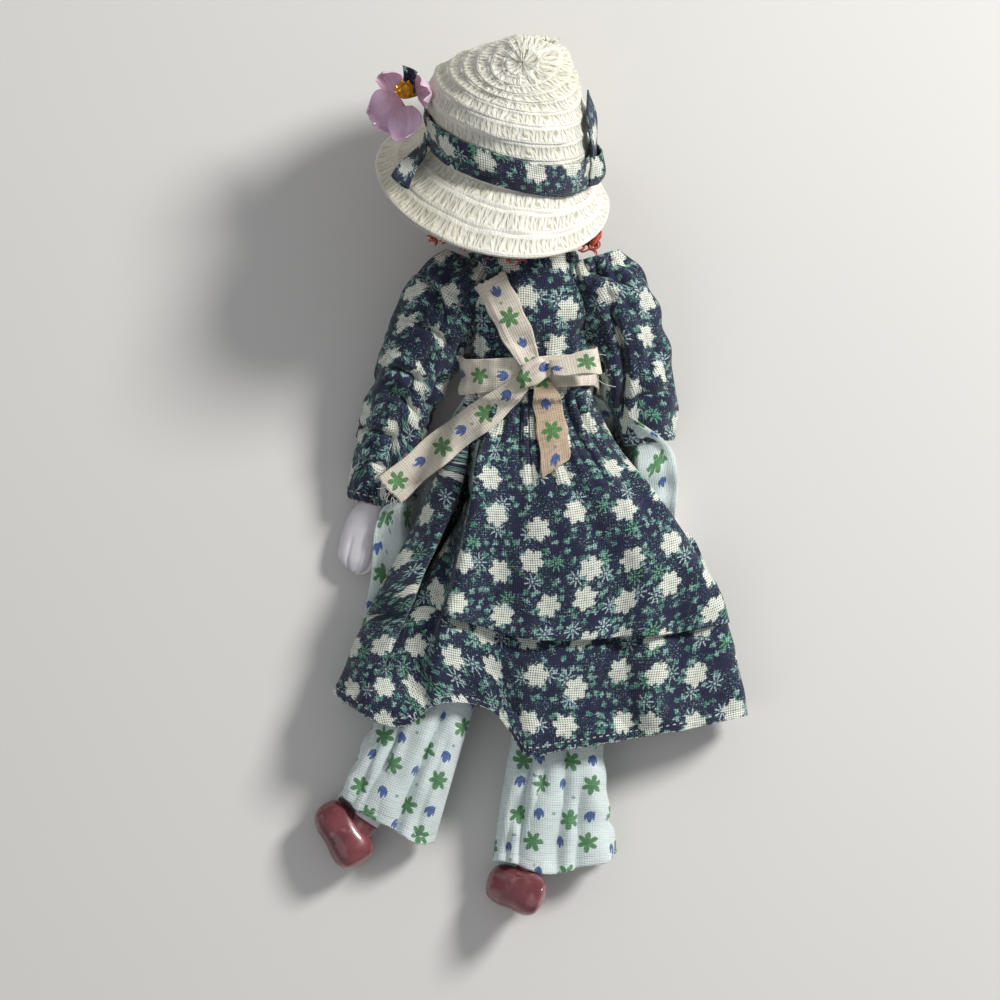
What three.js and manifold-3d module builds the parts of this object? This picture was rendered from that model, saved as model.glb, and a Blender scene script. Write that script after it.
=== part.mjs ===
// A miniature porcelain and cloth doll in a printed dress, apron, pantaloons and straw hat.
// It lies face down. Millimetres, +Z up, +Y towards the head, +X to the right as seen from above.
// The origin is on the flat underside of the apron, below the middle of the doll.

import * as THREE from 'three';
import { mergeVertices } from 'three/addons/utils/BufferGeometryUtils.js';
import Module from 'manifold-3d';

const wasm = await Module();
wasm.setup();

// Driving dimensions, in millimetres and degrees

const gap = 0.3;
const restGap = 0.1;
const torso = { x: -2.1, top: 42.2, bottom: -7.5, hipZ: 9.5, shoulderZ: 13.4, riseFrom: 6, riseTo: 43 };
const torsoSizes = { shoulder: [9.2, 5.4], waist: [10.3, 5.4], hip: [10.6, 5.9] };
const torsoPlaces = { shoulder: 37, waist: 20.5, hip: 2 };
const tool = { reach: 60 };
const plate = { wall: 1, bottom: 33, crest: 46 };
const neck = { radius: 4.2, top: 52 };
const head = { x: -6.2, y: 59.5, z: 21, halfWidth: 10.6, halfHeight: 12.4, halfDepth: 10.8, tip: 24, turn: 4 };
const nose = { radius: 1.5, drop: 1.6 };
const chin = [4, 3.2, 3.4];
const lips = [1.9, 0.8, 0.7];
const hair = { wall: 2, faceDepth: 3.2, curlRadius: 3.3, curlCount: 7, leftCurl: -12.3, rightCurl: 16.3,
  curlBack: 4 };

const hat = { x: -6.2, y: 63.1, turn: 15, tip: 24, leanLeft: 3.3, leanBack: 3.1, wall: 1.1 };
const crown = { radius: 15.9, height: 28.1, straight: 7, shape: [[0.3, 1.1], [0.6, 5.8], [0.87, 11.2]] };
const brim = { width: 7.7, drop: 6.2, tilt: 10, shift: -2 };
const band = { width: 7, wall: 0.6, tailWidth: 4.8, tailLength: 10, tailTurn: 166, tailSwing: -22, loopHeight: 2.6,
  loopFrom: -6, loopTo: 14 };
const petal = { length: 7.4, width: 7.8, wall: 0.7, cup: 1.6 };
const flower = { turn: 170, centreRadius: 1.6, notch: 0.8, points: 7, stalkRadius: 0.7,
  lift: 1.4, stand: 4.2, above: 2, nod: 45, neck: 1, floor: 1.4, lip: 2.3 };

const clothWall = 0.8;
const bodice = { top: 45.3, bottom: 20, yoke: 8.8, gathers: 14, gatherDepth: 0.5 };
const sash = { top: 25.2, bottom: 17, wall: 0.6, halfWidth: 13.4, halfDepth: 8.4 };
const skirt = { top: 19.6, halfWidth: 12.4, halfDepth: 7.2, back: 18.6, fall: 4, sideFall: 2.4, seam: 0.66,
  tuck: 0.5, legDrop: 1.6 };
const apron = { wall: 0.7, bottom: -44, rise: 9, hemCurve: 1.5 };
const ties = { width: 6.2, wall: 0.5, floor: 8.8, taper: [[0, 0.55], [0.25, 0.95], [1, 1.05]],
  up: [[-1.8, 22.8, 0.4], [-4.2, 28, 0.2], [-7, 34, 0.2], [-10, 39.8, 0.6]],
  lowerLeft: [[-3, 19.8, 0.2], [-8.5, 15, 0], [-19, 7.2, 0.3], [-30.1, -2.2, 0.8]],
  hanging: [[0.2, 19.8, 0.6], [1.4, 15, 0.6], [2.4, 9, 0.6], [3.2, 2.3, 0.6]] };
const knot = { x: -1, y: 21.6, turn: 25, halfWidth: 3, halfLength: 2.7, halfDepth: 1.7 };
const bowLoop = { x: 1.4, y: 22, length: 10.1, open: 35, halfDepth: 1.8, lift: 2.1, slope: 0.16, lean: 0.5,
  nearHalf: 1.4, spread: 0.12 };
const seat = { top: 8, bottom: -5, wall: 0.6 };

const shoulder = { halfSpan: 15.9, y: 38.4, ball: 4 };
const wristHeight = { along: 46, z: 3.5 };
const limbEnd = { reach: 0.96, flat: 0.08 };
const upperArm = { length: 27, radius: 3.9, endRadius: 2.9, elbow: 25 };
const forearm = { endRadius: 2.6, beadRadius: 2.9, wristRadius: 2.3, handHalfWidth: 4.7, handHalfDepth: 2.2,
  handLength: 15.5 };
const leftArm = { side: -1, x: torso.x - shoulder.halfSpan, outward: 23, bend: -8, sleeve: 46, cuffDepth: 3,
  reach: 60.5 };
const rightArm = { side: 1, x: torso.x + shoulder.halfSpan, outward: 16, bend: -9, sleeve: 32, cuffDepth: 4.5,
  reach: 60 };
const sleeve = { wall: 0.7, above: 6.5, headRadius: 7.2, headDepth: 6.3, chestRadius: 7.6, middleRadius: 6.4,
  cuffRadius: 5.2, creases: 5, tucks: 7, foldDepth: 0.32 };

const hip = { halfSpan: 6.8, y: -10, z: 8.4, ball: 5 };
const thigh = { length: 44, halfWidth: 4.8, halfDepth: 3.7, endRadius: 2.8 };
const leftLeg = { side: -1, x: torso.x - hip.halfSpan, angle: 20.5, cloth: 62.5, hem: 10.3,
  shinTurn: 34, shinLength: 22.6, footTurn: 31, dip: 4 };
const rightLeg = { side: 1, x: torso.x + hip.halfSpan, angle: 2.2, cloth: 66.5, hem: 11.6,
  shinTurn: 13, shinLength: 26, footTurn: 70, dip: 34 };
const knee = { along: 47, z: 7.6, gap: 1.2 };
const shin = { endRadius: 2.7, beadRadius: 3, grooveRadius: 2.5, calfRadius: 3.4, ankleRadius: 2.7, z: 5 };
const boot = { length: 14.5, halfWidth: 4.4, halfHeight: 4.2, heel: 4.8,
  shape: [[0, 0.41], [0.06, 0.77], [0.25, 1], [0.5, 0.94], [0.75, 0.93], [0.92, 0.75], [1, 0.36]] };
const pantaloon = { start: 0.5, wall: 0.7, topHalfWidth: 6, kneeHalfWidth: 8.6, halfDepth: 5.6,
  kneeHalfDepth: 4.2, folds: 7, foldDepth: 0.5 };
const lashing = { wall: 0.5, width: 1.7, bead: 1.2, groove: 2.4 };

// Materials

function material(color, roughness, metalness = 0) {
  return new THREE.MeshStandardMaterial({ color, roughness, metalness });
}

const navyPrint = material(0x23294a, 0.9);
const whitePrint = material(0xe3efe9, 0.9);
const ribbonPrint = material(0xcdbeb2, 0.9);
const straw = material(0xdcd9c6, 0.75);
const porcelain = material(0xe8e4e6, 0.25);
const glazedBoot = material(0x8c3f49, 0.2);
const muslin = material(0xd9cdb6, 0.95);
const orangeHair = material(0xc2492c, 0.8);
const lilac = material(0xcdb0cf, 0.6);
const gilt = material(0xd6a032, 0.35, 0.8);
const thread = material(0xe6e2d6, 0.9);

// Small helpers

const point = (x, y, z) => new THREE.Vector3(x, y, z);
const radians = THREE.MathUtils.degToRad;
const { lerp, smoothstep } = THREE.MathUtils;

// Smooth interpolation through [key, value] pairs whose keys rise.
function through(pairs, key) {
  if (key <= pairs[0][0]) return pairs[0][1];
  for (let i = 1; i < pairs.length; i += 1) {
    const [k1, v1] = pairs[i];
    if (key > k1) continue;
    const [k0, v0] = pairs[i - 1];
    const before = pairs[Math.max(i - 2, 0)];
    const after = pairs[Math.min(i + 1, pairs.length - 1)];
    const slope0 = (v1 - before[1]) / (k1 - before[0]);
    const slope1 = (after[1] - v0) / (after[0] - k0);
    const span = k1 - k0;
    const t = (key - k0) / span;
    const a = 2 * t ** 3 - 3 * t ** 2 + 1;
    const b = t ** 3 - 2 * t ** 2 + t;
    const c = -2 * t ** 3 + 3 * t ** 2;
    const d = t ** 3 - t ** 2;
    return a * v0 + b * slope0 * span + c * v1 + d * slope1 * span;
  }
  return pairs[pairs.length - 1][1];
}

function range(count, from, to) {
  return Array.from({ length: count }, (_, i) => lerp(from, to, i / (count - 1)));
}

function power(value, exponent) {
  return Math.sign(value) * Math.abs(value) ** exponent;
}

// A closed outline in the XZ plane at height y, from a superellipse.
function outline(x, y, z, halfWidth, halfDepth, sides, squareness = 0.9) {
  return Array.from({ length: sides }, (_, i) => {
    const angle = (i / sides) * Math.PI * 2;
    const u = power(Math.cos(angle), squareness);
    const w = power(Math.sin(angle), squareness);
    return point(x + halfWidth * u, y, z + halfDepth * w);
  });
}

function volumeOf(positions, index) {
  let sum = 0;
  for (let i = 0; i < index.length; i += 3) {
    const [a, b, c] = [index[i], index[i + 1], index[i + 2]].map((k) => positions[k]);
    sum += a.dot(b.clone().cross(c));
  }
  return sum / 6;
}

function surface(positions, index) {
  if (volumeOf(positions, index) < 0) index.reverse();
  const geometry = new THREE.BufferGeometry().setFromPoints(positions);
  geometry.setIndex(index);
  return geometry;
}

function centreOf(row) {
  return row.reduce((sum, p) => sum.add(p), point(0, 0, 0)).divideScalar(row.length);
}

function bridge(index, first, second, count) {
  for (let i = 0; i < count; i += 1) {
    const j = (i + 1) % count;
    index.push(first + i, first + j, second + i);
    index.push(first + j, second + j, second + i);
  }
}

// Rings joined into one closed skin with a fan on each end.
function loft(rings) {
  const count = rings[0].length;
  const positions = rings.flat();
  const index = [];
  for (let r = 0; r + 1 < rings.length; r += 1) bridge(index, r * count, (r + 1) * count, count);
  for (const [ring, flip] of [[0, true], [rings.length - 1, false]]) {
    const centre = positions.push(centreOf(rings[ring])) - 1;
    for (let i = 0; i < count; i += 1) {
      const a = ring * count + i;
      const b = ring * count + ((i + 1) % count);
      index.push(...(flip ? [centre, b, a] : [centre, a, b]));
    }
  }
  return surface(positions, index);
}

// Rings joined into a closed ring, the last one back to the first.
function loop(rings) {
  const count = rings[0].length;
  const index = [];
  for (let r = 0; r < rings.length; r += 1) {
    bridge(index, r * count, ((r + 1) % rings.length) * count, count);
  }
  return surface(rings.flat(), index);
}

// An open cloth tube from its outer rings and the inner rings inside them.
function sleeveOf(outer, inner) {
  return loop([...outer, ...inner.slice().reverse()]);
}

// A cloth sheet from a grid of its lower points and a grid of its upper points.
function sheetOf(lower, upper) {
  const rows = lower.length;
  const columns = lower[0].length;
  const positions = [...lower.flat(), ...upper.flat()];
  const top = rows * columns;
  const at = (r, c) => r * columns + c;
  const index = [];
  for (let r = 0; r + 1 < rows; r += 1) {
    for (let c = 0; c + 1 < columns; c += 1) {
      const [a, b, d, e] = [at(r, c), at(r, c + 1), at(r + 1, c), at(r + 1, c + 1)];
      index.push(a, d, b, b, d, e);
      index.push(top + a, top + b, top + d, top + b, top + e, top + d);
    }
  }
  const rim = [];
  for (let c = 0; c + 1 < columns; c += 1) rim.push(at(0, c));
  for (let r = 0; r + 1 < rows; r += 1) rim.push(at(r, columns - 1));
  for (let c = columns - 1; c > 0; c -= 1) rim.push(at(rows - 1, c));
  for (let r = rows - 1; r > 0; r -= 1) rim.push(at(r, 0));
  rim.forEach((a, i) => {
    const b = rim[(i + 1) % rim.length];
    index.push(a, b, top + b, a, top + b, top + a);
  });
  return surface(positions, index);
}

function solid(geometry) {
  const bare = new THREE.BufferGeometry();
  bare.setAttribute('position', geometry.getAttribute('position').clone());
  if (geometry.index) bare.setIndex(geometry.index.clone());
  const merged = mergeVertices(bare, 1e-5);
  return new wasm.Manifold(new wasm.Mesh({
    numProp: 3,
    vertProperties: Float32Array.from(merged.getAttribute('position').array),
    triVerts: Uint32Array.from(merged.index.array),
  }));
}

function geometryOf(body) {
  const mesh = body.getMesh();
  const geometry = new THREE.BufferGeometry();
  geometry.setAttribute('position', new THREE.BufferAttribute(Float32Array.from(mesh.vertProperties), 3));
  geometry.setIndex(Array.from(mesh.triVerts));
  return geometry;
}

// The largest separate lump of a solid that cuts have split.
function largest(body) {
  const lumps = body.decompose();
  return lumps.reduce((best, lump) => (lump.volume() > best.volume() ? lump : best));
}

const doll = new THREE.Group();
doll.name = 'doll';

function add(name, shape, look) {
  const geometry = shape.isBufferGeometry ? shape : geometryOf(shape);
  geometry.computeVertexNormals();
  const mesh = new THREE.Mesh(geometry, look);
  mesh.name = name;
  doll.add(mesh);
}

// Torso: a stuffed cloth body that swells at the hips and rises towards the shoulders

function spineZ(y) {
  return lerp(torso.hipZ, torso.shoulderZ, smoothstep(y, torso.riseFrom, torso.riseTo));
}

function bodySize(y, which) {
  const { shoulder: high, waist, hip: low } = torsoSizes;
  return through([
    [torso.bottom, low[which] * 0.5],
    [torso.bottom + 3, low[which] * 0.9],
    [torsoPlaces.hip, low[which]],
    [torsoPlaces.waist, waist[which]],
    [torsoPlaces.shoulder, high[which]],
    [torso.top - 1.5, high[which] * 0.86],
    [torso.top, high[which] * 0.55],
  ], y);
}

function torsoSolid(grow) {
  const rows = [...range(4, torso.bottom, torso.bottom + 5), ...range(6, 3, 35), ...range(3, 38, torso.top)];
  const stretch = (y) => (y === torso.bottom ? y - grow : y === torso.top ? y + grow : y);
  return solid(loft(rows.map((y) => outline(
    torso.x, stretch(y), spineZ(y), bodySize(y, 0) + grow, bodySize(y, 1) + grow, 16))));
}

function uprightCylinder(x, y, radius) {
  const geometry = new THREE.CylinderGeometry(radius, radius, tool.reach, 16);
  geometry.rotateX(Math.PI / 2);
  geometry.translate(x, y, hip.z);
  return solid(geometry);
}

const hipWells = [leftLeg, rightLeg].map((leg) => uprightCylinder(leg.x, hip.y, hip.ball + gap));
add('torso', hipWells.reduce((body, well) => body.subtract(well), torsoSolid(0)), muslin);

// Porcelain head, neck and shoulder plate in one piece

const headAxis = point(
  Math.sin(radians(head.turn)) * Math.cos(radians(head.tip)),
  Math.cos(radians(head.turn)) * Math.cos(radians(head.tip)),
  Math.sin(radians(head.tip)));
const headRight = point(Math.cos(radians(head.turn)), -Math.sin(radians(head.turn)), 0);
const headBack = headRight.clone().cross(headAxis).normalize();
const headPlace = point(head.x, head.y, head.z);

function onHead(right, up, back) {
  return headPlace.clone()
    .addScaledVector(headRight, right)
    .addScaledVector(headAxis, up)
    .addScaledVector(headBack, back);
}

function blob(centre, radii, detail = 12) {
  const geometry = new THREE.SphereGeometry(1, detail, Math.round(detail * 0.7));
  geometry.scale(radii[0], radii[2], radii[1]);
  const basis = new THREE.Matrix4().makeBasis(headRight, headBack.clone().negate(), headAxis);
  geometry.rotateX(Math.PI / 2);
  geometry.applyMatrix4(basis);
  geometry.translate(centre.x, centre.y, centre.z);
  return solid(geometry);
}

function plateSize(y, which) {
  const edge = bodySize(Math.min(y, torso.top - 1.5), which) + gap + plate.wall;
  const crest = through([[torso.top - 2, 1], [torso.top + 1, 0.8], [plate.crest, 0]], y);
  return lerp(neck.radius, edge, crest);
}

function neckX(y) {
  return lerp(torso.x, head.x, smoothstep(y, torso.top - 6, head.y));
}

function neckZ(y) {
  return spineZ(y) + (head.z - torso.shoulderZ) * smoothstep(y, torso.top - 1, head.y);
}

const plateRows = range(6, plate.bottom + 3, plate.crest);

function plateSolid(grow) {
  const rows = [plate.bottom - grow, ...plateRows, 48, neck.top];
  return solid(loft(rows.map((y) => outline(
    neckX(y), y, neckZ(y), plateSize(y, 0) + grow, plateSize(y, 1) + grow, 16))));
}

function headSolid(grow) {
  return blob(headPlace, [head.halfWidth + grow, head.halfHeight + grow, head.halfDepth + grow], 18);
}

const noseSolid = blob(
  onHead(0, -nose.drop, -head.halfDepth), [nose.radius * 0.8, nose.radius * 1.3, nose.radius], 8);
const chinSolid = (grow) => blob(
  onHead(0, -head.halfHeight * 0.78, -head.halfDepth * 0.55), chin.map((half) => half + grow), 10);
const lipSolid = blob(onHead(0, -head.halfHeight * 0.45, -head.halfDepth * 0.87), lips, 8);
add('shoulder_head', plateSolid(0).subtract(torsoSolid(gap))
  .add(headSolid(0)).add(noseSolid).add(chinSolid(0)).add(lipSolid), porcelain);

// Straw hat: a domed crown that leans over, and a drooping brim

const hatAxis = point(
  Math.sin(radians(hat.turn)) * Math.cos(radians(hat.tip)),
  Math.cos(radians(hat.turn)) * Math.cos(radians(hat.tip)),
  Math.sin(radians(hat.tip)));
const hatRight = point(Math.cos(radians(hat.turn)), -Math.sin(radians(hat.turn)), 0);
const hatBack = hatRight.clone().cross(hatAxis).normalize();

const hatProfile = new THREE.CatmullRomCurve3([
  point(0.3, crown.height, 0),
  ...crown.shape.map(([share, below]) => point(crown.radius * share, crown.height - below, 0)),
  point(crown.radius + 0.1, crown.height - 15, 0),
  point(crown.radius + 0.4, crown.straight, 0),
  point(crown.radius, 0.4, 0),
  point(crown.radius + brim.width * 0.45, -brim.drop * 0.42, 0),
  point(crown.radius + brim.width, -brim.drop, 0),
]);

// along runs from 0 at the tip of the crown to 1 at the rim, angle 0 is right and 90 degrees the back.
function hatLocal(along, angle, offset) {
  const p = hatProfile.getPointAt(along);
  const t = hatProfile.getTangentAt(along);
  const radius = p.x - t.y * offset;
  const height = p.y + t.x * offset;
  const share = Math.min(Math.max(0, height / crown.height), 1);
  const sideways = brim.shift * smoothstep(-height, 0, brim.drop)
    - hat.leanLeft * Math.sin(Math.PI * share) ** 2;
  const tilt = Math.tan(radians(brim.tilt)) * radius * smoothstep(-height, 0, brim.drop);
  return point(0, 0, 0)
    .addScaledVector(hatRight, radius * Math.cos(angle) + sideways)
    .addScaledVector(hatBack, radius * Math.sin(angle) + hat.leanBack * share ** 2.5)
    .addScaledVector(hatAxis, height - tilt * Math.sin(angle));
}

const hatSides = 26;
const hatAngles = Array.from({ length: hatSides }, (_, i) => (i / hatSides) * Math.PI * 2);
const rimPoints = hatAngles.flatMap((angle) => [hatLocal(1, angle, 0), hatLocal(1, angle, -hat.wall)]);
const hatPlace = point(hat.x, hat.y, restGap - Math.min(...rimPoints.map((p) => p.z)));

function onHat(along, angle, offset) {
  return hatLocal(along, angle, offset).add(hatPlace);
}

const profileLength = hatProfile.getLength();
const bandLow = (profileLength - brim.width * 1.36) / profileLength;
const bandHigh = bandLow - band.width / profileLength;
const bandRows = range(3, bandHigh, bandLow);
const hatRows = [...range(6, 0, bandHigh - 0.04), ...bandRows, ...range(4, bandLow + 0.05, 1)];
const hatOuter = hatRows.map((along) => hatAngles.map((angle) => onHat(along, angle, 0)));
const hatInner = hatRows.map((along) => hatAngles.map((angle) => onHat(along, angle, -hat.wall)));
add('straw_hat', loft([...hatOuter, ...hatInner.reverse()]), straw);

// Hat band, its knotted tail and the loop at its far end

const bandRings = (offset) => bandRows.map((along) => hatAngles.map((angle) => onHat(along, angle, offset)));
add('hat_band', sleeveOf(bandRings(gap + band.wall), bandRings(gap)), navyPrint);

function hatPatch(alongs, angles, offset, wall, lift, swing) {
  const rows = (extra) => alongs.map((along, r) => angles.map((angle, c) => onHat(
    along, angle + swing * r / (alongs.length - 1), offset + extra + lift(c / (angles.length - 1)))));
  return sheetOf(rows(0), rows(wall));
}

const overBand = gap + band.wall + gap;
const tailTurn = radians(band.tailTurn);
const tailHalf = band.tailWidth / 2 / (crown.radius + 3);
add('hat_band_tail', hatPatch(
  range(7, bandLow - 0.03, bandLow - 0.03 + band.tailLength / profileLength),
  range(4, tailTurn - tailHalf, tailTurn + tailHalf), overBand, band.wall,
  () => 0, radians(band.tailSwing)), navyPrint);
add('hat_band_loop', hatPatch(
  range(5, bandHigh + 0.01, bandLow - 0.01),
  range(5, radians(band.loopFrom), radians(band.loopTo)), overBand, band.wall,
  (c) => band.loopHeight * Math.sin(c * Math.PI) * 0.5, 0), navyPrint);

// Flower of four petals round a gilt cup, pinned at the left of the band

const flowerAlong = bandHigh - flower.above / profileLength;
const flowerTurn = radians(flower.turn);
const hatNormal = onHat(flowerAlong, flowerTurn, 1).sub(onHat(flowerAlong, flowerTurn, 0)).normalize();
const flowerOut = hatNormal.clone().addScaledVector(hatBack, flower.lift).normalize();
const flowerSeat = onHat(flowerAlong, flowerTurn, flower.stand);
const flowerUp = hatAxis.clone().addScaledVector(flowerOut, -hatAxis.dot(flowerOut)).normalize();
const flowerSide = flowerUp.clone().cross(flowerOut).normalize();

function petalSolid(turn, layer, scale) {
  const direction = flowerUp.clone().multiplyScalar(Math.cos(turn)).addScaledVector(flowerSide, Math.sin(turn));
  const across = direction.clone().cross(flowerOut).normalize();
  const grid = (extra) => range(7, 0, 1).map((t) => range(5, -1, 1).map((w) => {
    const half = petal.width * 0.5 * scale * (0.28 + 0.95 * Math.sin(Math.PI * Math.min(t * 0.86 + 0.06, 1)));
    const rise = layer + petal.cup * t * t + 0.7 * w * w * t + extra;
    return flowerSeat.clone()
      .addScaledVector(direction, (flower.centreRadius + gap) + petal.length * scale * t - 0.9 * w * w * t)
      .addScaledVector(across, half * w)
      .addScaledVector(flowerOut, rise);
  }));
  return sheetOf(grid(0), grid(petal.wall));
}

const petalTurns = [[282, 1.1, 0.6], [55, -0.6, 0.66], [152, 1.1, 0.9], [212, 0, 1]];
petalTurns.forEach(([turn, layer, scale], i) => {
  add(`flower_petal_${i + 1}`, petalSolid(radians(turn), layer, scale), lilac);
});

// The cup nods forward on a stalk that runs down between the petals to the hat.
const cupSides = flower.points * 2;
const stalkLength = (flower.stand - gap) / hatNormal.dot(flowerOut) - flower.stalkRadius;
const nod = radians(flower.nod);
const cupOut = flowerOut.clone().multiplyScalar(Math.cos(nod)).addScaledVector(flowerUp, Math.sin(nod));
const cupUp = flowerUp.clone().multiplyScalar(Math.cos(nod)).addScaledVector(flowerOut, -Math.sin(nod));
const cupRings = [
  [flower.stalkRadius, -stalkLength],
  [flower.stalkRadius, 0],
  [flower.centreRadius * 0.9, flower.neck],
  [flower.centreRadius, flower.lip],
  [flower.centreRadius * 0.62, flower.lip],
  [flower.centreRadius * 0.5, flower.floor],
];
add('flower_cup', loft(cupRings.map(([radius, height]) => Array.from({ length: cupSides }, (_, i) => {
  const angle = (i / cupSides) * Math.PI * 2;
  const onLip = height === flower.lip ? 1 : 0;
  const [up, out] = height > 0 ? [cupUp, cupOut] : [flowerUp, flowerOut];
  return flowerSeat.clone()
    .addScaledVector(up, Math.cos(angle) * radius)
    .addScaledVector(flowerSide, Math.sin(angle) * radius)
    .addScaledVector(out, height + onLip * flower.notch * (1 + Math.cos(angle * flower.points)) * 0.5);
}))), gilt);

// Dress bodice over the shoulder plate, gathered into the waist

function bodiceSize(y, which, extra) {
  const least = which === 0 ? bodice.yoke : neck.radius + 0.6;
  const shape = Math.max(plateSize(Math.max(y, plate.bottom), which), least);
  const low = bodySize(y, which) + 0.4;
  return lerp(low, shape, smoothstep(y, plate.bottom - 6, plate.bottom)) + gap + extra;
}

function bodiceRings(extra) {
  return [...range(4, bodice.bottom, plate.bottom), ...plateRows.slice(0, -1), bodice.top].map((y) => {
    const ring = outline(neckX(y), y, neckZ(y), bodiceSize(y, 0, extra), bodiceSize(y, 1, extra), 24);
    const gather = bodice.gatherDepth * (1 - smoothstep(y, bodice.bottom, bodice.bottom + 12));
    ring.forEach((p, i) => {
      const wave = 1 + Math.cos((i / ring.length) * Math.PI * 2 * bodice.gathers / 2);
      const middle = point(neckX(y), y, neckZ(y));
      p.addScaledVector(p.clone().sub(middle).normalize(), gather * wave * 0.5);
    });
    return ring;
  });
}

const bodiceCloth = solid(sleeveOf(bodiceRings(clothWall), bodiceRings(0)));
const bodiceFilled = solid(loft(bodiceRings(clothWall + gap)));
add('bodice', bodiceCloth, navyPrint);

// Arms: a stuffed upper arm, a porcelain forearm with its hand, the thread that ties them, and the sleeve

function armZ(along) {
  return through([
    [0, spineZ(shoulder.y)],
    [wristHeight.along, wristHeight.z],
    [rightArm.reach + 2, forearm.handHalfDepth + gap],
  ], along);
}

function armFrame(arm) {
  const before = radians(arm.outward);
  return (along, across, up) => {
    const turn = radians(arm.outward + arm.bend * smoothstep(along, upperArm.elbow - 7, upperArm.elbow + 7));
    const elbow = Math.min(along, upperArm.elbow);
    const rest = along - elbow;
    return point(
      arm.x + arm.side * (Math.sin(before) * elbow + Math.sin(turn) * rest + Math.cos(turn) * across),
      shoulder.y - Math.cos(before) * elbow - Math.cos(turn) * rest + Math.sin(turn) * across,
      armZ(along) + up);
  };
}

function limbRings(frame, rows, sides, size, squareness = 1) {
  return rows.map((along) => outline(0, along, 0, size(along)[0], size(along)[1], sides, squareness)
    .map((p) => frame(along, p.x, p.z)));
}

// How a stuffed limb closes at its rounded upper end, as a share of its radius.
function roundEnd(along, ball) {
  return along < 0 ? Math.sqrt(Math.max(limbEnd.flat, 1 - (along / ball) ** 2)) : 1;
}

function upperArmSolid(frame, grow) {
  const rows = range(9, -shoulder.ball * limbEnd.reach - grow, upperArm.length + grow);
  return solid(loft(limbRings(frame, rows, 12, (s) => {
    const radius = roundEnd(s, shoulder.ball + grow) * through([
      [0, shoulder.ball],
      [shoulder.ball * 2.5, upperArm.radius],
      [upperArm.length - 3, upperArm.endRadius * 1.1],
      [upperArm.length, upperArm.endRadius * 0.85],
    ], s) + grow;
    return [radius, radius];
  })));
}

// Stations of the forearm: its end, the bead, the groove for the thread and the thick part below.
const forearmStart = upperArm.length + gap;
const forearmRows = [0, lashing.bead, lashing.groove, lashing.groove * 2.1].map((step) => forearmStart + step);

function forearmSolid(arm, frame, grow) {
  const [start, bead, groove, thick] = forearmRows;
  const wrist = arm.reach - forearm.handLength;
  const rows = [start - grow, bead, groove, thick, ...range(6, wrist - 3, arm.reach - 0.8), arm.reach + grow];
  const bound = [
    [start, forearm.endRadius],
    [bead, forearm.beadRadius],
    [groove, forearm.wristRadius],
    [thick, forearm.beadRadius],
    [wrist - 3, forearm.wristRadius],
  ];
  const widths = [
    ...bound,
    [wrist, forearm.wristRadius * 1.2],
    [wrist + 5, forearm.handHalfWidth],
    [arm.reach - 5, forearm.handHalfWidth],
    [arm.reach - 1.2, forearm.handHalfWidth * 0.6],
    [arm.reach, forearm.handHalfWidth * 0.2],
  ];
  const depths = [
    ...bound,
    [wrist + 5, forearm.handHalfDepth],
    [arm.reach - 3, forearm.handHalfDepth * 0.9],
    [arm.reach, forearm.handHalfDepth * 0.3],
  ];
  return solid(loft(limbRings(frame, rows, 14, (s) => [through(widths, s) + grow, through(depths, s) + grow])));
}

// A band of thread round the groove of a limb.
function lashingSolid(frame, groove, radius) {
  const stations = range(2, groove - lashing.width / 2, groove + lashing.width / 2);
  const rings = (r) => limbRings(frame, stations, 12, () => [r, r]);
  return solid(sleeveOf(rings(radius + gap + lashing.wall), rings(radius + gap / 2)));
}

// Soft creases round a sleeve and tucks along it.
function sleeveFolds(rings) {
  return rings.map((row, r) => {
    const middle = centreOf(row);
    const along = r / (rings.length - 1);
    return row.map((p, i) => {
      const turn = (i / row.length) * Math.PI * 2;
      const crease = Math.cos(turn * sleeve.creases + along * 2) * Math.sin(Math.PI * Math.min(1, along * 1.2));
      const tuck = Math.cos(along * Math.PI * sleeve.tucks + turn) * (1 - along * 0.4);
      return p.clone().addScaledVector(p.clone().sub(middle).normalize(), sleeve.foldDepth * (crease + tuck));
    });
  });
}

function sleeveRings(arm, frame, extra) {
  const rows = [-sleeve.above, -sleeve.above + 2, -1, ...range(6, 5, arm.sleeve)];
  const widths = [
    [-sleeve.above, sleeve.headRadius * 0.74],
    [-sleeve.above + 2, sleeve.headRadius * 0.9],
    [-1, sleeve.headRadius],
    [12, sleeve.chestRadius],
    [24, sleeve.middleRadius],
    [arm.sleeve - 3, sleeve.cuffRadius + 0.5],
    [arm.sleeve, sleeve.cuffRadius],
  ];
  const depths = [
    [-sleeve.above, sleeve.headDepth * 0.6],
    [-sleeve.above + 2, sleeve.headDepth * 0.82],
    [-1, sleeve.headDepth],
    [12, sleeve.headDepth - 0.5],
    [24, sleeve.headDepth - 1.3],
    [arm.sleeve, arm.cuffDepth],
  ];
  const size = (s) => [through(widths, s) + extra, through(depths, s) + extra];
  return sleeveFolds(limbRings(frame, rows, 15, size));
}

function armParts(arm) {
  const frame = armFrame(arm);
  const name = arm.side < 0 ? 'left' : 'right';
  const bareForearm = forearmSolid(arm, frame, gap);
  add(`upper_arm_${name}`, upperArmSolid(frame, 0), muslin);
  add(`forearm_${name}`, forearmSolid(arm, frame, 0), porcelain);
  const bound = lashingSolid(frame, forearmRows[2], forearm.wristRadius);
  add(`arm_lashing_${name}`, largest(bound.subtract(bareForearm)), thread);
  const cloth = solid(sleeveOf(sleeveRings(arm, frame, 0), sleeveRings(arm, frame, -sleeve.wall)));
  const fitted = cloth.subtract(bodiceFilled).subtract(sashFilled).subtract(bareForearm);
  add(`sleeve_${name}`, largest(fitted), navyPrint);
  return solid(loft(sleeveRings(arm, frame, 2 * gap))).add(bareForearm);
}

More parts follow.
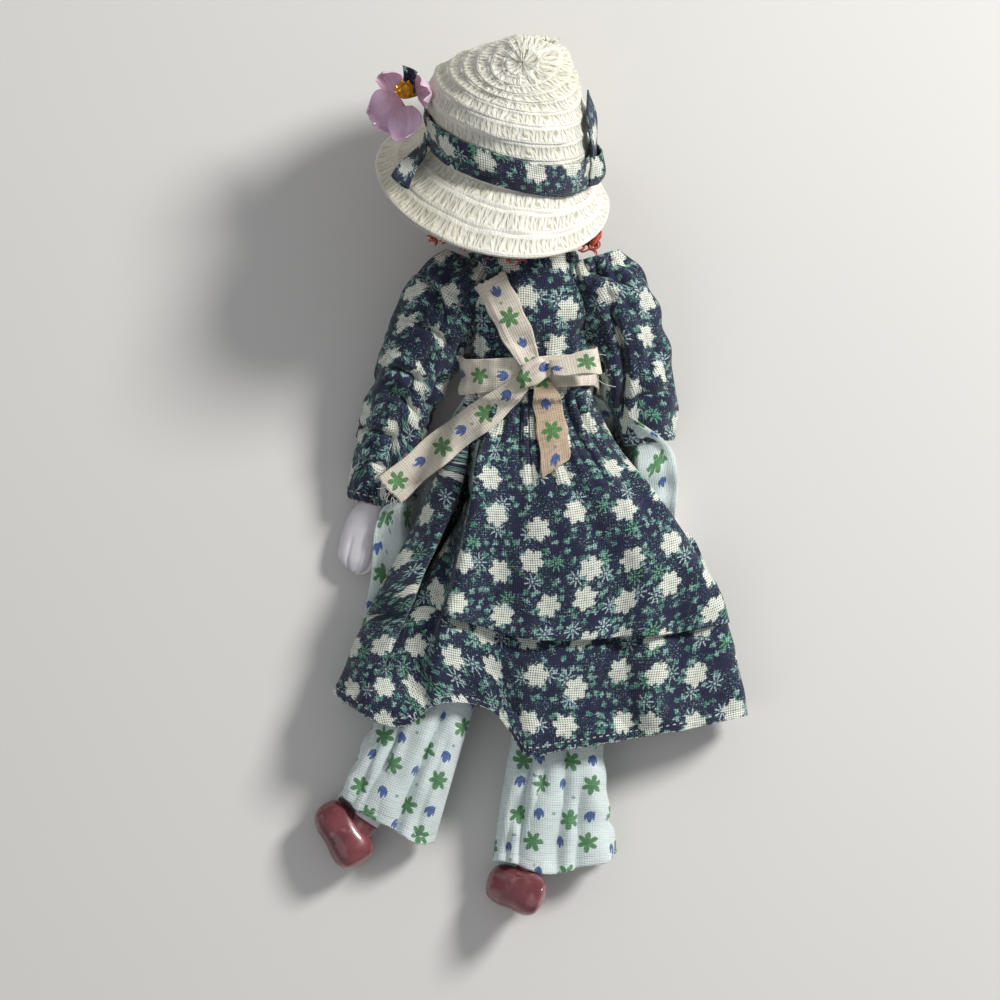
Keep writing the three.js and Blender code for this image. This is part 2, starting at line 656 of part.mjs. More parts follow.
// Sash round the waist

function sashRings(extra, grow = 0) {
  return range(3, sash.bottom - grow, sash.top + grow).map((y) => outline(
    torso.x, y, spineZ(y), sash.halfWidth + extra, sash.halfDepth + extra, 32));
}

const sashFilled = solid(loft(sashRings(gap, gap)));
add('apron_sash', solid(sleeveOf(sashRings(0), sashRings(-sash.wall))), ribbonPrint);

const coveredArms = [leftArm, rightArm].map(armParts);

// Hair: a wig cap over the back of the head with short curls round the nape

function hairSolid() {
  const thickness = gap + hair.wall;
  const size = [head.halfWidth, head.halfHeight, head.halfDepth].map((half) => half + thickness);
  let wig = blob(headPlace, size, 12);
  for (let i = 0; i < hair.curlCount; i += 1) {
    const angle = lerp(-0.12, Math.PI + 0.12, i / (hair.curlCount - 1));
    const right = Math.cos(angle) * (head.halfWidth + 1.2);
    const back = Math.sin(angle) * (head.halfDepth - 0.5);
    const low = -head.halfHeight * (0.62 + 0.1 * Math.cos(i * 2.4));
    const radius = hair.curlRadius + 0.3 * Math.sin(i * 1.7);
    wig = wig.add(blob(onHead(right, low, back), [radius, radius * 1.25, radius], 6));
  }
  for (const end of [hair.leftCurl, hair.rightCurl]) {
    for (const step of range(3, 0.45, 1)) {
      const right = lerp(Math.sign(end) * head.halfWidth, end, step);
      const radius = hair.curlRadius * lerp(1.05, 0.8, step);
      const low = -head.halfHeight * lerp(0.5, 1, step);
      wig = wig.add(blob(onHead(right, low, hair.curlBack), [radius, radius, radius], 6));
    }
  }
  return wig;
}

const faceOpening = new THREE.BoxGeometry(tool.reach, tool.reach, tool.reach);
faceOpening.applyMatrix4(new THREE.Matrix4().makeBasis(headRight, headAxis, headBack));
const facePlace = onHead(0, 0, -tool.reach / 2 - hair.faceDepth);
faceOpening.translate(facePlace.x, facePlace.y, facePlace.z);
const bareNeck = plateSolid(gap).add(headSolid(gap)).add(chinSolid(gap));
const wigCut = [bareNeck, solid(faceOpening), bodiceFilled, ...coveredArms];
add('hair', largest(wigCut.reduce((wig, part) => wig.subtract(part), hairSolid())), orangeHair);

// Legs: a stuffed thigh, a porcelain shin with a glazed boot, the thread that ties them, and the pantaloon leg

function legZ(along) {
  return through([[0, hip.z], [knee.along, knee.z], [leftLeg.cloth, shin.z]], along);
}

function legFrame(leg) {
  const turn = radians(leg.angle) * leg.side;
  const fix = leg.side > 0 ? -1 : 1;
  return (along, across, up) => point(
    leg.x + Math.sin(turn * fix) * along + Math.cos(turn) * across,
    hip.y - Math.cos(turn) * along + Math.sin(turn * fix) * across,
    legZ(Math.max(along, 0)) + up);
}

function shinFrame(leg) {
  const start = legFrame(leg)(knee.along, 0, 0);
  const turn = radians(leg.shinTurn);
  const slope = (start.z - shin.z) / leg.shinLength;
  return (along, across, up) => point(
    start.x - Math.sin(turn) * along + Math.cos(turn) * across,
    start.y - Math.cos(turn) * along - Math.sin(turn) * across,
    start.z - slope * along + up);
}

function thighSolid(frame, grow) {
  const rows = range(9, -hip.ball * limbEnd.reach - grow, thigh.length + grow);
  const profile = (middle) => [
    [0, hip.ball],
    [hip.ball * 2.8, middle],
    [thigh.length - 4, thigh.endRadius + 0.4],
    [thigh.length, thigh.endRadius * 0.8],
  ];
  return solid(loft(limbRings(frame, rows, 14, (s) => {
    const round = roundEnd(s, hip.ball + grow);
    return [thigh.halfWidth, thigh.halfDepth].map((half) => through(profile(half), s) * round + grow);
  })));
}

const kneeRows = [0, lashing.bead, lashing.groove, lashing.groove * 2.1].map((step) => knee.gap + step);

function shinSolid(leg, frame, grow) {
  const [start, bead, groove, thick] = kneeRows;
  const rows = [start - grow, bead, groove, thick, ...range(4, 10, leg.shinLength + grow)];
  const radii = [
    [start, shin.endRadius],
    [bead, shin.beadRadius],
    [groove, shin.grooveRadius],
    [thick + 1, shin.calfRadius],
    [18, shin.ankleRadius],
    [leg.shinLength, shin.ankleRadius + 0.3],
  ];
  return solid(loft(limbRings(frame, rows, 12, (s) => {
    const radius = through(radii, s) + grow;
    return [radius, radius];
  })));
}

// The boot runs from its heel, under the ankle, to its toe, and rests on the ground.
function bootSolid(leg, frame, grow) {
  const ankle = frame(leg.shinLength, 0, 0);
  const turn = radians(leg.footTurn);
  const dip = radians(leg.dip);
  const toe = point(-Math.sin(turn) * Math.cos(dip), Math.cos(turn) * Math.cos(dip), -Math.sin(dip));
  const side = point(Math.cos(turn), Math.sin(turn), 0);
  const toeLength = boot.length - boot.heel;
  const middle = boot.halfHeight + restGap + (toeLength - 3) * Math.sin(dip);
  return solid(loft(range(9, -boot.heel - grow, toeLength + grow).map((s) => {
    const t = (s + boot.heel) / boot.length;
    const half = boot.halfWidth * through(boot.shape, t) + grow;
    const high = boot.halfHeight * (0.55 + 0.45 * Math.sin(Math.PI * Math.min(1, 0.2 + t * 0.75))) + grow;
    return outline(0, 0, 0, 1, 1, 14, 0.85).map((p) => {
      const place = ankle.clone().addScaledVector(toe, s).addScaledVector(side, p.x * half);
      return place.setZ(Math.max(restGap - grow, middle + place.z - ankle.z + p.z * high));
    });
  })));
}

function pantaloonRings(leg, frame, extra) {
  const widths = [
    [pantaloon.start, pantaloon.topHalfWidth],
    [14, (pantaloon.topHalfWidth + pantaloon.kneeHalfWidth) / 2],
    [40, pantaloon.kneeHalfWidth],
    [52, (pantaloon.kneeHalfWidth + leg.hem) / 2],
    [leg.cloth, leg.hem],
  ];
  const depths = [
    [pantaloon.start, pantaloon.halfDepth],
    [knee.along, pantaloon.kneeHalfDepth],
    [leg.cloth, pantaloon.kneeHalfDepth],
  ];
  const size = (s) => [through(widths, s) + extra, through(depths, s) + extra];
  return limbRings(frame, range(8, pantaloon.start, leg.cloth), 22, size, 0.85).map((row, r) => {
    const middle = centreOf(row);
    return row.map((p, i) => {
      const turn = (i / row.length) * Math.PI * 2;
      const depth = pantaloon.foldDepth * smoothstep(r, 1, 6) * Math.cos(turn * pantaloon.folds + r * 0.12);
      return p.clone().addScaledVector(p.clone().sub(middle).normalize(), depth);
    });
  });
}

function legParts(leg) {
  const frame = legFrame(leg);
  const lowerFrame = shinFrame(leg);
  const name = leg.side < 0 ? 'left' : 'right';
  const lowerLeg = (grow) => shinSolid(leg, lowerFrame, grow).add(bootSolid(leg, lowerFrame, grow));
  add(`thigh_${name}`, thighSolid(frame, 0), muslin);
  add(`lower_leg_${name}`, lowerLeg(0), glazedBoot);
  const bound = lashingSolid(lowerFrame, kneeRows[2], shin.grooveRadius);
  add(`leg_lashing_${name}`, largest(bound.subtract(lowerLeg(gap))), thread);
  const cloth = solid(sleeveOf(pantaloonRings(leg, frame, 0), pantaloonRings(leg, frame, -pantaloon.wall)));
  add(`pantaloon_leg_${name}`, largest(cloth.subtract(lowerLeg(gap))), whitePrint);
}

legParts(leftLeg);
legParts(rightLeg);

// Pantaloon seat round the hips

function seatRings(extra) {
  return range(4, seat.bottom, seat.top).map((y) => outline(
    torso.x, y, spineZ(y), torsoSizes.hip[0] + gap + extra, torsoSizes.hip[1] + gap + extra, 22));
}

const seatWells = [leftLeg, rightLeg].map(
  (leg) => uprightCylinder(leg.x, hip.y, pantaloon.topHalfWidth + 2 * gap));
const seatCloth = solid(sleeveOf(seatRings(seat.wall), seatRings(0)));
add('pantaloon_seat', largest(seatWells.reduce((cloth, well) => cloth.subtract(well), seatCloth)), whitePrint);

// Ground layers: how far the apron is lifted by what lies under its two sides

function groundLift(x, y) {
  const right = smoothstep(x, 15.6, 19.6) * (1 - smoothstep(-y, 25, 31));
  const left = smoothstep(-x, 23.5, 28) * (1 - smoothstep(-y, 22, 29));
  const hand = armZ(shoulder.y - y) + forearm.handHalfDepth + 2 * gap;
  return hand * Math.max(right, left);
}

// Skirt: a flattened flared tube, gathered at the waist, with one deep fold and a flounce

const skirtLeft = [
  [-47, -42.5], [-42, -41], [-21, -31], [-4, -22.5], [8, -17.5],
  [sash.bottom - 1, torso.x - skirt.halfWidth], [skirt.top, torso.x - skirt.halfWidth]];
const skirtRight = [
  [-50, 42.2], [-46.9, 41.2], [-36.7, 38.8], [-27.8, 37.1], [-21.6, 35], [-7.8, 26.5], [6, 15.6],
  [sash.bottom - 1, torso.x + skirt.halfWidth], [skirt.top, torso.x + skirt.halfWidth]];
const hemLine = [[-1, -42.5], [-0.8, -47.5], [-0.62, -49], [-0.45, -44.5], [-0.2, -46.5], [-0.07, -54.5],
  [0.1, -53.8], [0.4, -51.8], [0.7, -49.6], [1, -47]];

// Height of the folds over the back of the skirt, where across runs from -1 at its left edge to 1 at its right.
function foldHeight(across, along) {
  const fade = 1 - 0.82 * smoothstep(along, 0.48, 0.74);
  const deep = -8 * Math.exp(-(((across + 0.7) / 0.11) ** 2)) * smoothstep(along, 0.12, 0.3) * fade;
  const strip = 2.2 * Math.exp(-(((across + 0.9) / 0.09) ** 2)) * smoothstep(along, 0.16, 0.4);
  const middle = 0.9 * Math.cos(across * 9 - 0.6) * smoothstep(along, 0.15, 0.9);
  const onRight = smoothstep(along, 0.25, 0.8) * smoothstep(across, 0.2, 0.5);
  const rightFold = 1.3 * Math.cos((across - 0.55) * 15) * onRight;
  const gather = 0.35 * Math.cos(across * 34) * (1 - smoothstep(along, 0.05, 0.4));
  return deep + strip + middle + rightFold + gather;
}

// The lower and upper heights of the skirt's outer face, before its sides round off.
function skirtHeights(x, y, across, along) {
  const settle = smoothstep(along, 0.05, 0.3);
  const onSeat = spineZ(y) + torsoSizes.hip[1] + gap + seat.wall + gap + clothWall;
  const onLegs = hip.z + pantaloon.halfDepth + gap + clothWall + skirt.tuck
    - skirt.legDrop * smoothstep(-y, 12, 48);
  const overBody = (Math.abs(x - torso.x) < torsoSizes.hip[0] + 2 && y > seat.bottom - 2) ? onSeat : onLegs;
  const slope = skirt.fall * smoothstep(along, 0.3, 1) + skirt.sideFall * smoothstep(Math.abs(across), 0.55, 1);
  const fold = skirt.back - slope + foldHeight(across, along);
  const back = across > -0.56 ? Math.max(overBody, fold) : fold;
  return {
    low: lerp(spineZ(y) - skirt.halfDepth, apron.wall + gap + groundLift(x, y), settle),
    high: lerp(spineZ(y) + skirt.halfDepth, back, settle),
  };
}

// How round the skirt's section is: near an ellipse at the waist, flat below it.
function skirtShape(along) {
  const settled = smoothstep(along, 0.05, 0.3);
  return { wide: lerp(0.9, 0.72, settled), deep: lerp(0.9, 0.5, settled) };
}

// The skirt's outer face above or below a place, as heights, or undefined outside the skirt.
function skirtFace(x, y) {
  const left = through(skirtLeft, y);
  const across = ((x - left) / (through(skirtRight, y) - left)) * 2 - 1;
  if (Math.abs(across) >= 1) return undefined;
  const along = (skirt.top - y) / (skirt.top - through(hemLine, across));
  const { low, high } = skirtHeights(x, y, across, along);
  const shape = skirtShape(along);
  const rise = Math.sin(Math.acos(power(across, 1 / shape.wide))) ** shape.deep;
  const middle = (low + high) / 2;
  return { under: middle - (high - middle) * rise, over: middle + (high - middle) * rise };
}

function skirtRing(along, inset) {
  const sides = 36;
  const shape = skirtShape(along);
  const ring = Array.from({ length: sides }, (_, i) => {
    const angle = (i / sides) * Math.PI * 2;
    const across = power(Math.cos(angle), shape.wide);
    const rise = power(Math.sin(angle), shape.deep);
    const y = lerp(skirt.top, through(hemLine, across), along);
    const left = through(skirtLeft, y);
    const right = through(skirtRight, y);
    const x = lerp(left, right, (across + 1) / 2);
    const { low, high } = skirtHeights(x, y, across, along);
    const middle = (low + high) / 2;
    return point(x, y, middle + (high - middle) * rise);
  });
  return ring.map((p, i) => {
    const before = ring[(i + sides - 1) % sides];
    const after = ring[(i + 1) % sides];
    const inward = point(before.z - after.z, 0, after.x - before.x).normalize();
    return p.clone().addScaledVector(inward, inset);
  });
}

function skirtCloth(alongs, inset) {
  const outer = alongs.map((along) => skirtRing(along, inset(along)));
  const inner = alongs.map((along) => skirtRing(along, inset(along) + clothWall));
  return sleeveOf(outer, inner);
}

const skirtAlongs = range(9, 0, skirt.seam);
add('skirt', skirtCloth(skirtAlongs, () => 0), navyPrint);
const skirtFilled = solid(loft([...skirtAlongs, ...range(4, 0.72, 1)].map(
  (along) => skirtRing(along, -1.5 * gap))));
add('skirt_flounce', skirtCloth(range(6, skirt.seam + 0.008, 1),
  (along) => skirt.tuck * (1 - smoothstep(along, skirt.seam, skirt.seam + 0.15))), navyPrint);

// Apron: it runs from the sash under the belly, flat on the ground, and its sides lie over the hands

const apronTop = sash.bottom - gap;
const apronLeft = [
  [apron.bottom, -40], [-28, -35.5], [-21, -34], [-6, -31.5], [-1.6, -23.5], [8.8, -19.6],
  [apronTop, torso.x - sash.halfWidth + sash.wall]];
const apronRight = [
  [apron.bottom, 31], [-22, 29.5], [-8.4, 27], [0, 27.4], [7, 25.6], [13, 17],
  [apronTop, torso.x + sash.halfWidth - sash.wall]];

function apronGrid(extra) {
  return range(11, 0, 1).map((v) => range(15, -1, 1).map((u) => {
    const y = lerp(apronTop, apron.bottom + apron.hemCurve * Math.cos(u * 2.2), v);
    const x = lerp(through(apronLeft, y), through(apronRight, y), (u + 1) / 2);
    const free = apron.wall + groundLift(x, y) + apron.rise * smoothstep(y, 6, sash.bottom);
    const under = skirtFace(x, y)?.under ?? Infinity;
    return point(x, y, Math.min(free, under - gap) - apron.wall + extra);
  }));
}

const apronCloth = solid(sheetOf(apronGrid(0), apronGrid(apron.wall)));
const underApron = [...coveredArms, skirtFilled];
add('apron', largest(underApron.reduce((cloth, part) => cloth.subtract(part), apronCloth)), whitePrint);

// Bow at the back of the sash: a knot, a standing end, two hanging ends and a loop

function roundedTop(u, exponent) {
  return Math.max(0, 1 - Math.abs(u) ** (2 / exponent)) ** (exponent / 2);
}

// Height of the dress's back, from the bodice down over the sash and the skirt.
function backTop(x, y) {
  if (y > sash.top) {
    const u = (x - neckX(y)) / bodiceSize(y, 0, clothWall);
    return neckZ(y) + bodiceSize(y, 1, clothWall + bodice.gatherDepth) * roundedTop(u, 0.9);
  }
  if (y > sash.bottom) {
    return spineZ(y) + sash.halfDepth * roundedTop((x - torso.x) / sash.halfWidth, 0.9);
  }
  return skirtFace(x, y)?.over ?? 0;
}

// A tie end laid over the dress along [x, y, lift] points.
function tieSolid(route, floor = 0) {
  const path = new THREE.CatmullRomCurve3(route.map(([x, y, lift]) => point(x, y, lift)));
  const rows = range(10, 0, 1).map((t) => {
    const p = path.getPoint(t);
    const direction = path.getTangent(t).setZ(0).normalize();
    const half = ties.width * 0.5 * through(ties.taper, t);
    return range(5, -1, 1).map((w) => {
      const x = p.x - direction.y * half * w;
      const y = p.y + direction.x * half * w;
      const near = [-1, 0, 1].flatMap((i) => [-1, 0, 1].map((j) => backTop(x + i, y + j)));
      return point(x, y, Math.max(...near, floor) + gap + p.z);
    });
  });
  const settle = rows.map((row, r) => row.map((p, c) => {
    const around = [rows[Math.max(r - 1, 0)], row, rows[Math.min(r + 1, rows.length - 1)]];
    return point(p.x, p.y, Math.max(p.z, around.reduce((sum, other) => sum + other[c].z, 0) / 3));
  }));
  return solid(sheetOf(settle, settle.map((row) => row.map((p) => point(p.x, p.y, p.z + ties.wall)))));
}

const knotPlace = point(knot.x, knot.y, backTop(knot.x, knot.y) + gap + knot.halfDepth);

function knotSolid(grow) {
  const geometry = new THREE.SphereGeometry(1, 14, 10);
  geometry.scale(knot.halfWidth + grow, knot.halfLength + grow, knot.halfDepth + grow);
  geometry.rotateZ(radians(knot.turn));
  geometry.translate(knotPlace.x, knotPlace.y, knotPlace.z);
  return solid(geometry);
}

const tieEnds = {
  tie_up: tieSolid(ties.up),
  tie_lower_left: tieSolid(ties.lowerLeft, ties.floor),
  tie_hanging: tieSolid(ties.hanging),
};
add('tie_knot', knotSolid(0), ribbonPrint);
Object.entries(tieEnds).forEach(([name, end]) => {
  add(name, largest(end.subtract(knotSolid(gap))), ribbonPrint);
});

// The bow's one short loop stands on its edge beside the knot.
function loopGrid(extra) {
  return range(17, 0, 1).map((t) => {
    const turn = lerp(radians(bowLoop.open), radians(360 - bowLoop.open), t);
    const reach = bowLoop.length / 2 * (1 - Math.cos(turn));
    const rise = (bowLoop.halfDepth + extra * 1.4) * Math.sin(turn);
    return range(3, -1, 1).map((w) => point(
      bowLoop.x + reach - extra * Math.cos(turn) - w * bowLoop.lean,
      bowLoop.y + reach * bowLoop.slope + w * (bowLoop.nearHalf + reach * bowLoop.spread),
      backTop(torso.x, bowLoop.y) + bowLoop.lift + rise));
  });
}

add('tie_loop', largest(solid(sheetOf(loopGrid(0), loopGrid(ties.wall))).subtract(knotSolid(gap))), ribbonPrint);

export default doll;
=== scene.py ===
# A miniature porcelain and cloth doll that lies face down, seen from straight above.
# Shapes are worked out in millimetres in the part's own frame and become metres in each mesh.

import math

import bpy
import numpy as np
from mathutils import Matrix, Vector


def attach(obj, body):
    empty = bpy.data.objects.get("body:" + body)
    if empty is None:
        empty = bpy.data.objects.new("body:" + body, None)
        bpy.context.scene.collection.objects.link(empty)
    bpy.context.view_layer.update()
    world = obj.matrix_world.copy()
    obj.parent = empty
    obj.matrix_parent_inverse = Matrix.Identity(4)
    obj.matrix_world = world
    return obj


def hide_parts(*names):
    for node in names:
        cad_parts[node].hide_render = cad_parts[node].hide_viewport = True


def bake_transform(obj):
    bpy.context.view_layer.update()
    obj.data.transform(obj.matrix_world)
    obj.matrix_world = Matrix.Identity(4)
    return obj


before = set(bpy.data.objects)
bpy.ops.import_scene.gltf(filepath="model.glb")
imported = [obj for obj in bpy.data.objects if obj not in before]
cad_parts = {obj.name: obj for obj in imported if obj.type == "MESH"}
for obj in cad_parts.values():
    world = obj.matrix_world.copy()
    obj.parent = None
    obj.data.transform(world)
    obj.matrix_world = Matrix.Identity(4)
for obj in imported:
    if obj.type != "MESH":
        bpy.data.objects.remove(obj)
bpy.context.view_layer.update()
MM = 0.001

# Camera, light and floor

PIXEL_MM = 0.2
VIEW_CENTRE = (-8.0, -4.0)
CAMERA_HEIGHT = 2.5
SENSOR_MM = 36.0
IMAGE_PIXELS = 1000


def add_camera():
    data = bpy.data.cameras.new("camera")
    data.sensor_width = SENSOR_MM
    data.lens = SENSOR_MM * CAMERA_HEIGHT / (IMAGE_PIXELS * PIXEL_MM * MM)
    camera = bpy.data.objects.new("camera", data)
    camera.location = (VIEW_CENTRE[0] * MM, VIEW_CENTRE[1] * MM, CAMERA_HEIGHT)
    bpy.context.scene.collection.objects.link(camera)
    bpy.context.scene.camera = camera


def add_light(name, place, size, power, colour=(1, 1, 1)):
    data = bpy.data.lights.new(name, "AREA")
    data.shape = "DISK"
    data.size = size
    data.energy = power
    data.color = colour
    lamp = bpy.data.objects.new(name, data)
    lamp.location = place
    lamp.rotation_euler = (-Vector(place)).to_track_quat("-Z", "Y").to_euler()
    bpy.context.scene.collection.objects.link(lamp)


add_camera()
add_light("key_light", (0.52, 0.36, 0.45), 0.2, 5.9, (1.0, 0.985, 0.96))
add_light("fill_light", (-0.5, -0.3, 0.7), 0.7, 0.7, (0.95, 0.97, 1.0))
world = bpy.data.worlds.new("world")
bpy.context.scene.world = world
world.use_nodes = True
world.node_tree.nodes["Background"].inputs["Color"].default_value = (0.95, 0.97, 1.0, 1)
world.node_tree.nodes["Background"].inputs["Strength"].default_value = 0.3
bpy.context.scene.view_settings.view_transform = "Standard"

# Number helpers


def smooth(x, low, high):
    t = np.clip((np.asarray(x, float) - low) / (high - low), 0, 1)
    return t * t * (3 - 2 * t)


def bell(x, middle, width):
    return np.exp(-(((np.asarray(x, float) - middle) / width) ** 2))


def mix(a, b, t):
    return a + (b - a) * t


def through(pairs, key):
    """Smooth interpolation through [key, value] pairs whose keys rise."""
    k, v = np.array(pairs, float).T
    slope = np.empty_like(v)
    slope[1:-1] = (v[2:] - v[:-2]) / (k[2:] - k[:-2])
    slope[0] = (v[1] - v[0]) / (k[1] - k[0])
    slope[-1] = (v[-1] - v[-2]) / (k[-1] - k[-2])
    x = np.clip(np.asarray(key, float), k[0], k[-1])
    i = np.clip(np.searchsorted(k, x), 1, len(k) - 1)
    span = k[i] - k[i - 1]
    t = (x - k[i - 1]) / span
    return (
        (2 * t**3 - 3 * t**2 + 1) * v[i - 1]
        + (t**3 - 2 * t**2 + t) * slope[i - 1] * span
        + (3 * t**2 - 2 * t**3) * v[i]
        + (t**3 - t**2) * slope[i] * span
    )


def power(value, exponent):
    return np.sign(value) * np.abs(value) ** exponent


def ripple(seed, a, b, size, waves=9):
    """Soft uneven relief over two coordinates, with bumps about size across."""
    rng = np.random.default_rng(seed)
    total = 0
    for _ in range(waves):
        turn = rng.uniform(0, math.tau)
        rate = math.tau / size * rng.uniform(0.6, 1.5)
        total = total + np.sin(
            (np.cos(turn) * a + np.sin(turn) * b) * rate + rng.uniform(0, math.tau)
        )
    return total / math.sqrt(waves)


def strokes(points, out, creases):
    """Sinks long creases into a skin, each given as x, y, x, y, half width and depth."""
    move = np.zeros(points.shape[:2])
    facing = smooth(out[..., 2], -0.1, 0.4)
    for x0, y0, x1, y1, width, depth in creases:
        dx, dy = x1 - x0, y1 - y0
        t = ((points[..., 0] - x0) * dx + (points[..., 1] - y0) * dy) / (dx * dx + dy * dy)
        bow = 0.08 * math.hypot(dx, dy) * np.sin(np.clip(t, 0, 1) * math.pi)
        side = ((points[..., 0] - x0) * dy - (points[..., 1] - y0) * dx) / math.hypot(dx, dy) + bow
        reach = np.sqrt(np.clip(np.sin(np.clip(t, 0, 1) * math.pi), 0, 1))
        edges = bell(side, 1.9 * width, width) + bell(side, -1.9 * width, width)
        move += depth * reach * (0.5 * edges - bell(side, 0, width))
    return points + out * (move * facing)[..., None]


def unit(v):
    return v / np.maximum(np.linalg.norm(v, axis=-1, keepdims=True), 1e-9)


def xyz(x, y, z):
    return np.stack(np.broadcast_arrays(x, y, z), -1).astype(float)


def pair(u, v):
    return np.stack(np.broadcast_arrays(u, v), -1)


def down(first, last, count):
    """Even steps down the rows of a grid."""
    return np.linspace(first, last, count)[:, None]


def sideways(first, last, count):
    """Even steps across the columns of a grid."""
    return np.linspace(first, last, count)[None, :]


def joined(grid):
    """A grid with its first column again after its last."""
    return np.concatenate([grid, grid[:, :1]], 1)


def degrees_round(turn):
    return (np.degrees(turn) + 360) % 360


def degrees_from(degrees, at):
    return (degrees - at + 180) % 360 - 180


def normals(points, closed):
    """Normals of a grid of points."""
    across = (
        np.roll(points, -1, 1) - np.roll(points, 1, 1)
        if closed
        else np.gradient(points, axis=1)
    )
    return unit(np.cross(across, np.gradient(points, axis=0)))


# Mesh helpers


def grid_faces(rows, columns, closed):
    r, c = np.meshgrid(
        np.arange(rows - 1), np.arange(columns if closed else columns - 1), indexing="ij"
    )
    n = (c + 1) % columns
    quads = np.stack(
        [r * columns + c, r * columns + n, (r + 1) * columns + n, (r + 1) * columns + c], -1
    )
    corners = np.stack(
        [np.stack([r, c], -1), np.stack([r, c + 1], -1), np.stack([r + 1, c + 1], -1),
         np.stack([r + 1, c], -1)], -2,
    )
    return quads.reshape(-1, 4), corners.reshape(-1, 4, 2)


def at_corners(values, corners):
    rows, columns = corners.reshape(-1, 2).T
    return values[rows, columns]


def arc_uv(points, closed, middle):
    """Lengths in millimetres across from a middle column and down from the first row."""
    wide = joined(points) if closed else points
    steps = np.linalg.norm(np.diff(wide, axis=1), axis=2)
    u = np.concatenate([np.zeros((len(wide), 1)), np.cumsum(steps, 1)], 1)
    u = u - u[:, middle : middle + 1]
    steps = np.linalg.norm(np.diff(wide, axis=0), axis=2)
    v = np.concatenate([np.zeros((1, wide.shape[1])), np.cumsum(steps, 0)], 0)
    return np.stack([u, v], -1)


def print_uv(points, smooth_form):
    """Print laid on the smooth form, with room added across where the cloth is folded."""
    middle = points.shape[1] // 2
    uv = arc_uv(smooth_form, True, middle)
    room = arc_uv(points, True, middle)[..., 0] - uv[..., 0]
    for _ in range(90):
        room[1:-1] = (room[:-2] + 2 * room[1:-1] + room[2:]) / 4
    uv[..., 0] += room
    return uv


def surface(name, points, material, body, closed=False, uv=None, rim=None, wall=0.0, capped=False,
            flip=False):
    """A grid of points as a smooth skin, with a wall thickness and end caps where asked."""
    rows, columns = points.shape[:2]
    uv = arc_uv(points, closed, columns // 2) if uv is None else uv
    if rim is None:
        edge = np.minimum(uv[..., 1], uv[-1:, :, 1] - uv[..., 1])
    else:
        edge = np.broadcast_to(rim, (rows, columns))
        edge = joined(edge) if closed else edge
    edge_uv = np.stack([edge, uv[..., 0]], -1)
    quads, corners = grid_faces(rows, columns, closed)
    if flip:
        quads, corners = quads[:, ::-1], corners[:, ::-1]
    layers = [at_corners(values, corners) for values in (uv, edge_uv)]
    flat = points.reshape(-1, 3)
    faces = quads.tolist()
    for end in (0, rows - 1) if capped else ():
        centre = len(flat)
        flat = np.vstack([flat, points[end].mean(0)])
        for i in range(columns):
            j = (i + 1) % columns
            near = (j, i) if (end == 0) != flip else (i, j)
            faces.append([centre, *(end * columns + k for k in near)])
            for k, values in enumerate((uv, edge_uv)):
                ends = [values[end, :columns].mean(0), *(values[end, m] for m in near)]
                layers[k] = np.concatenate([layers[k], np.array(ends)])
    piece = link_faces(name, flat, faces, material, body, layers)
    if wall:
        solid = piece.modifiers.new("cloth_wall", "SOLIDIFY")
        solid.thickness = wall * MM
        solid.offset = -1
    return piece


def link_faces(name, points, faces, material, body, layers):
    mesh = bpy.data.meshes.new(name)
    points = np.array(points, float)
    points[:, 2] = np.maximum(points[:, 2], 0.0)
    mesh.from_pydata((points * MM).tolist(), [], faces)
    for layer, values in zip(("UVMap", "Rim"), layers):
        target = mesh.uv_layers.new(name=layer)
        target.data.foreach_set("uv", np.asarray(values, np.float32).ravel())
    mesh.materials.append(material)
    mesh.polygons.foreach_set("use_smooth", [True] * len(mesh.polygons))
    mesh.update()
    piece = bpy.data.objects.new(name, mesh)
    bpy.context.scene.collection.objects.link(piece)
    if body:
        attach(piece, body)
    return piece


def tube_points(path, radius, sides=8):
    """Rings of points round a path, given as rows of x, y, z."""
    path = np.asarray(path, float)
    ahead = unit(np.gradient(path, axis=0))
    side = unit(np.cross(ahead, [0.13, 0.21, 0.97]))
    up = np.cross(side, ahead)
    turn = np.arange(sides) / sides * math.tau
    radius = np.broadcast_to(np.asarray(radius, float), len(path))[:, None, None]
    ring = np.cos(turn)[None, :, None] * side[:, None] + np.sin(turn)[None, :, None] * up[:, None]
    return path[:, None] + radius * ring


def tubes(name, paths, radius, material, body, sides=5):
    """Many thin tubes in one mesh."""
    points, faces, uvs = [], [], []
    for k, path in enumerate(paths):
        size = radius[k] if hasattr(radius, "__len__") else radius
        rings = tube_points(path, size, sides)
        uv = arc_uv(rings, True, 0) + [k * 0.37, 0]
        quads, corners = grid_faces(len(rings), sides, True)
        base = sum(len(p) for p in points)
        points.append(rings.reshape(-1, 3))
        faces += (quads + base).tolist()
        uvs.append(at_corners(uv, corners))
        for row, order in ((0, -1), (len(rings) - 1, 1)):
            ring = [base + row * sides + i for i in range(sides)][::order]
            faces.append(ring)
            uvs.append(np.repeat(uv[row, :1], sides, 0))
    uvs = np.concatenate(uvs)
    return link_faces(name, np.concatenate(points), faces, material, body, [uvs, uvs])


# Materials


def rgb(r, g, b):
    def linear(c):
        c /= 255
        return c / 12.92 if c <= 0.04045 else ((c + 0.055) / 1.055) ** 2.4

    return (linear(r), linear(g), linear(b), 1.0)


class Value:
    """A node's output that takes part in sums like a number; a | b is the greater of two."""

    def __init__(self, shader, socket):
        self.shader, self.socket = shader, socket


def operator(kind, swapped=False):
    def method(self, other=0.0):
        return self.shader.math(kind, *((other, self) if swapped else (self, other)))

    return method


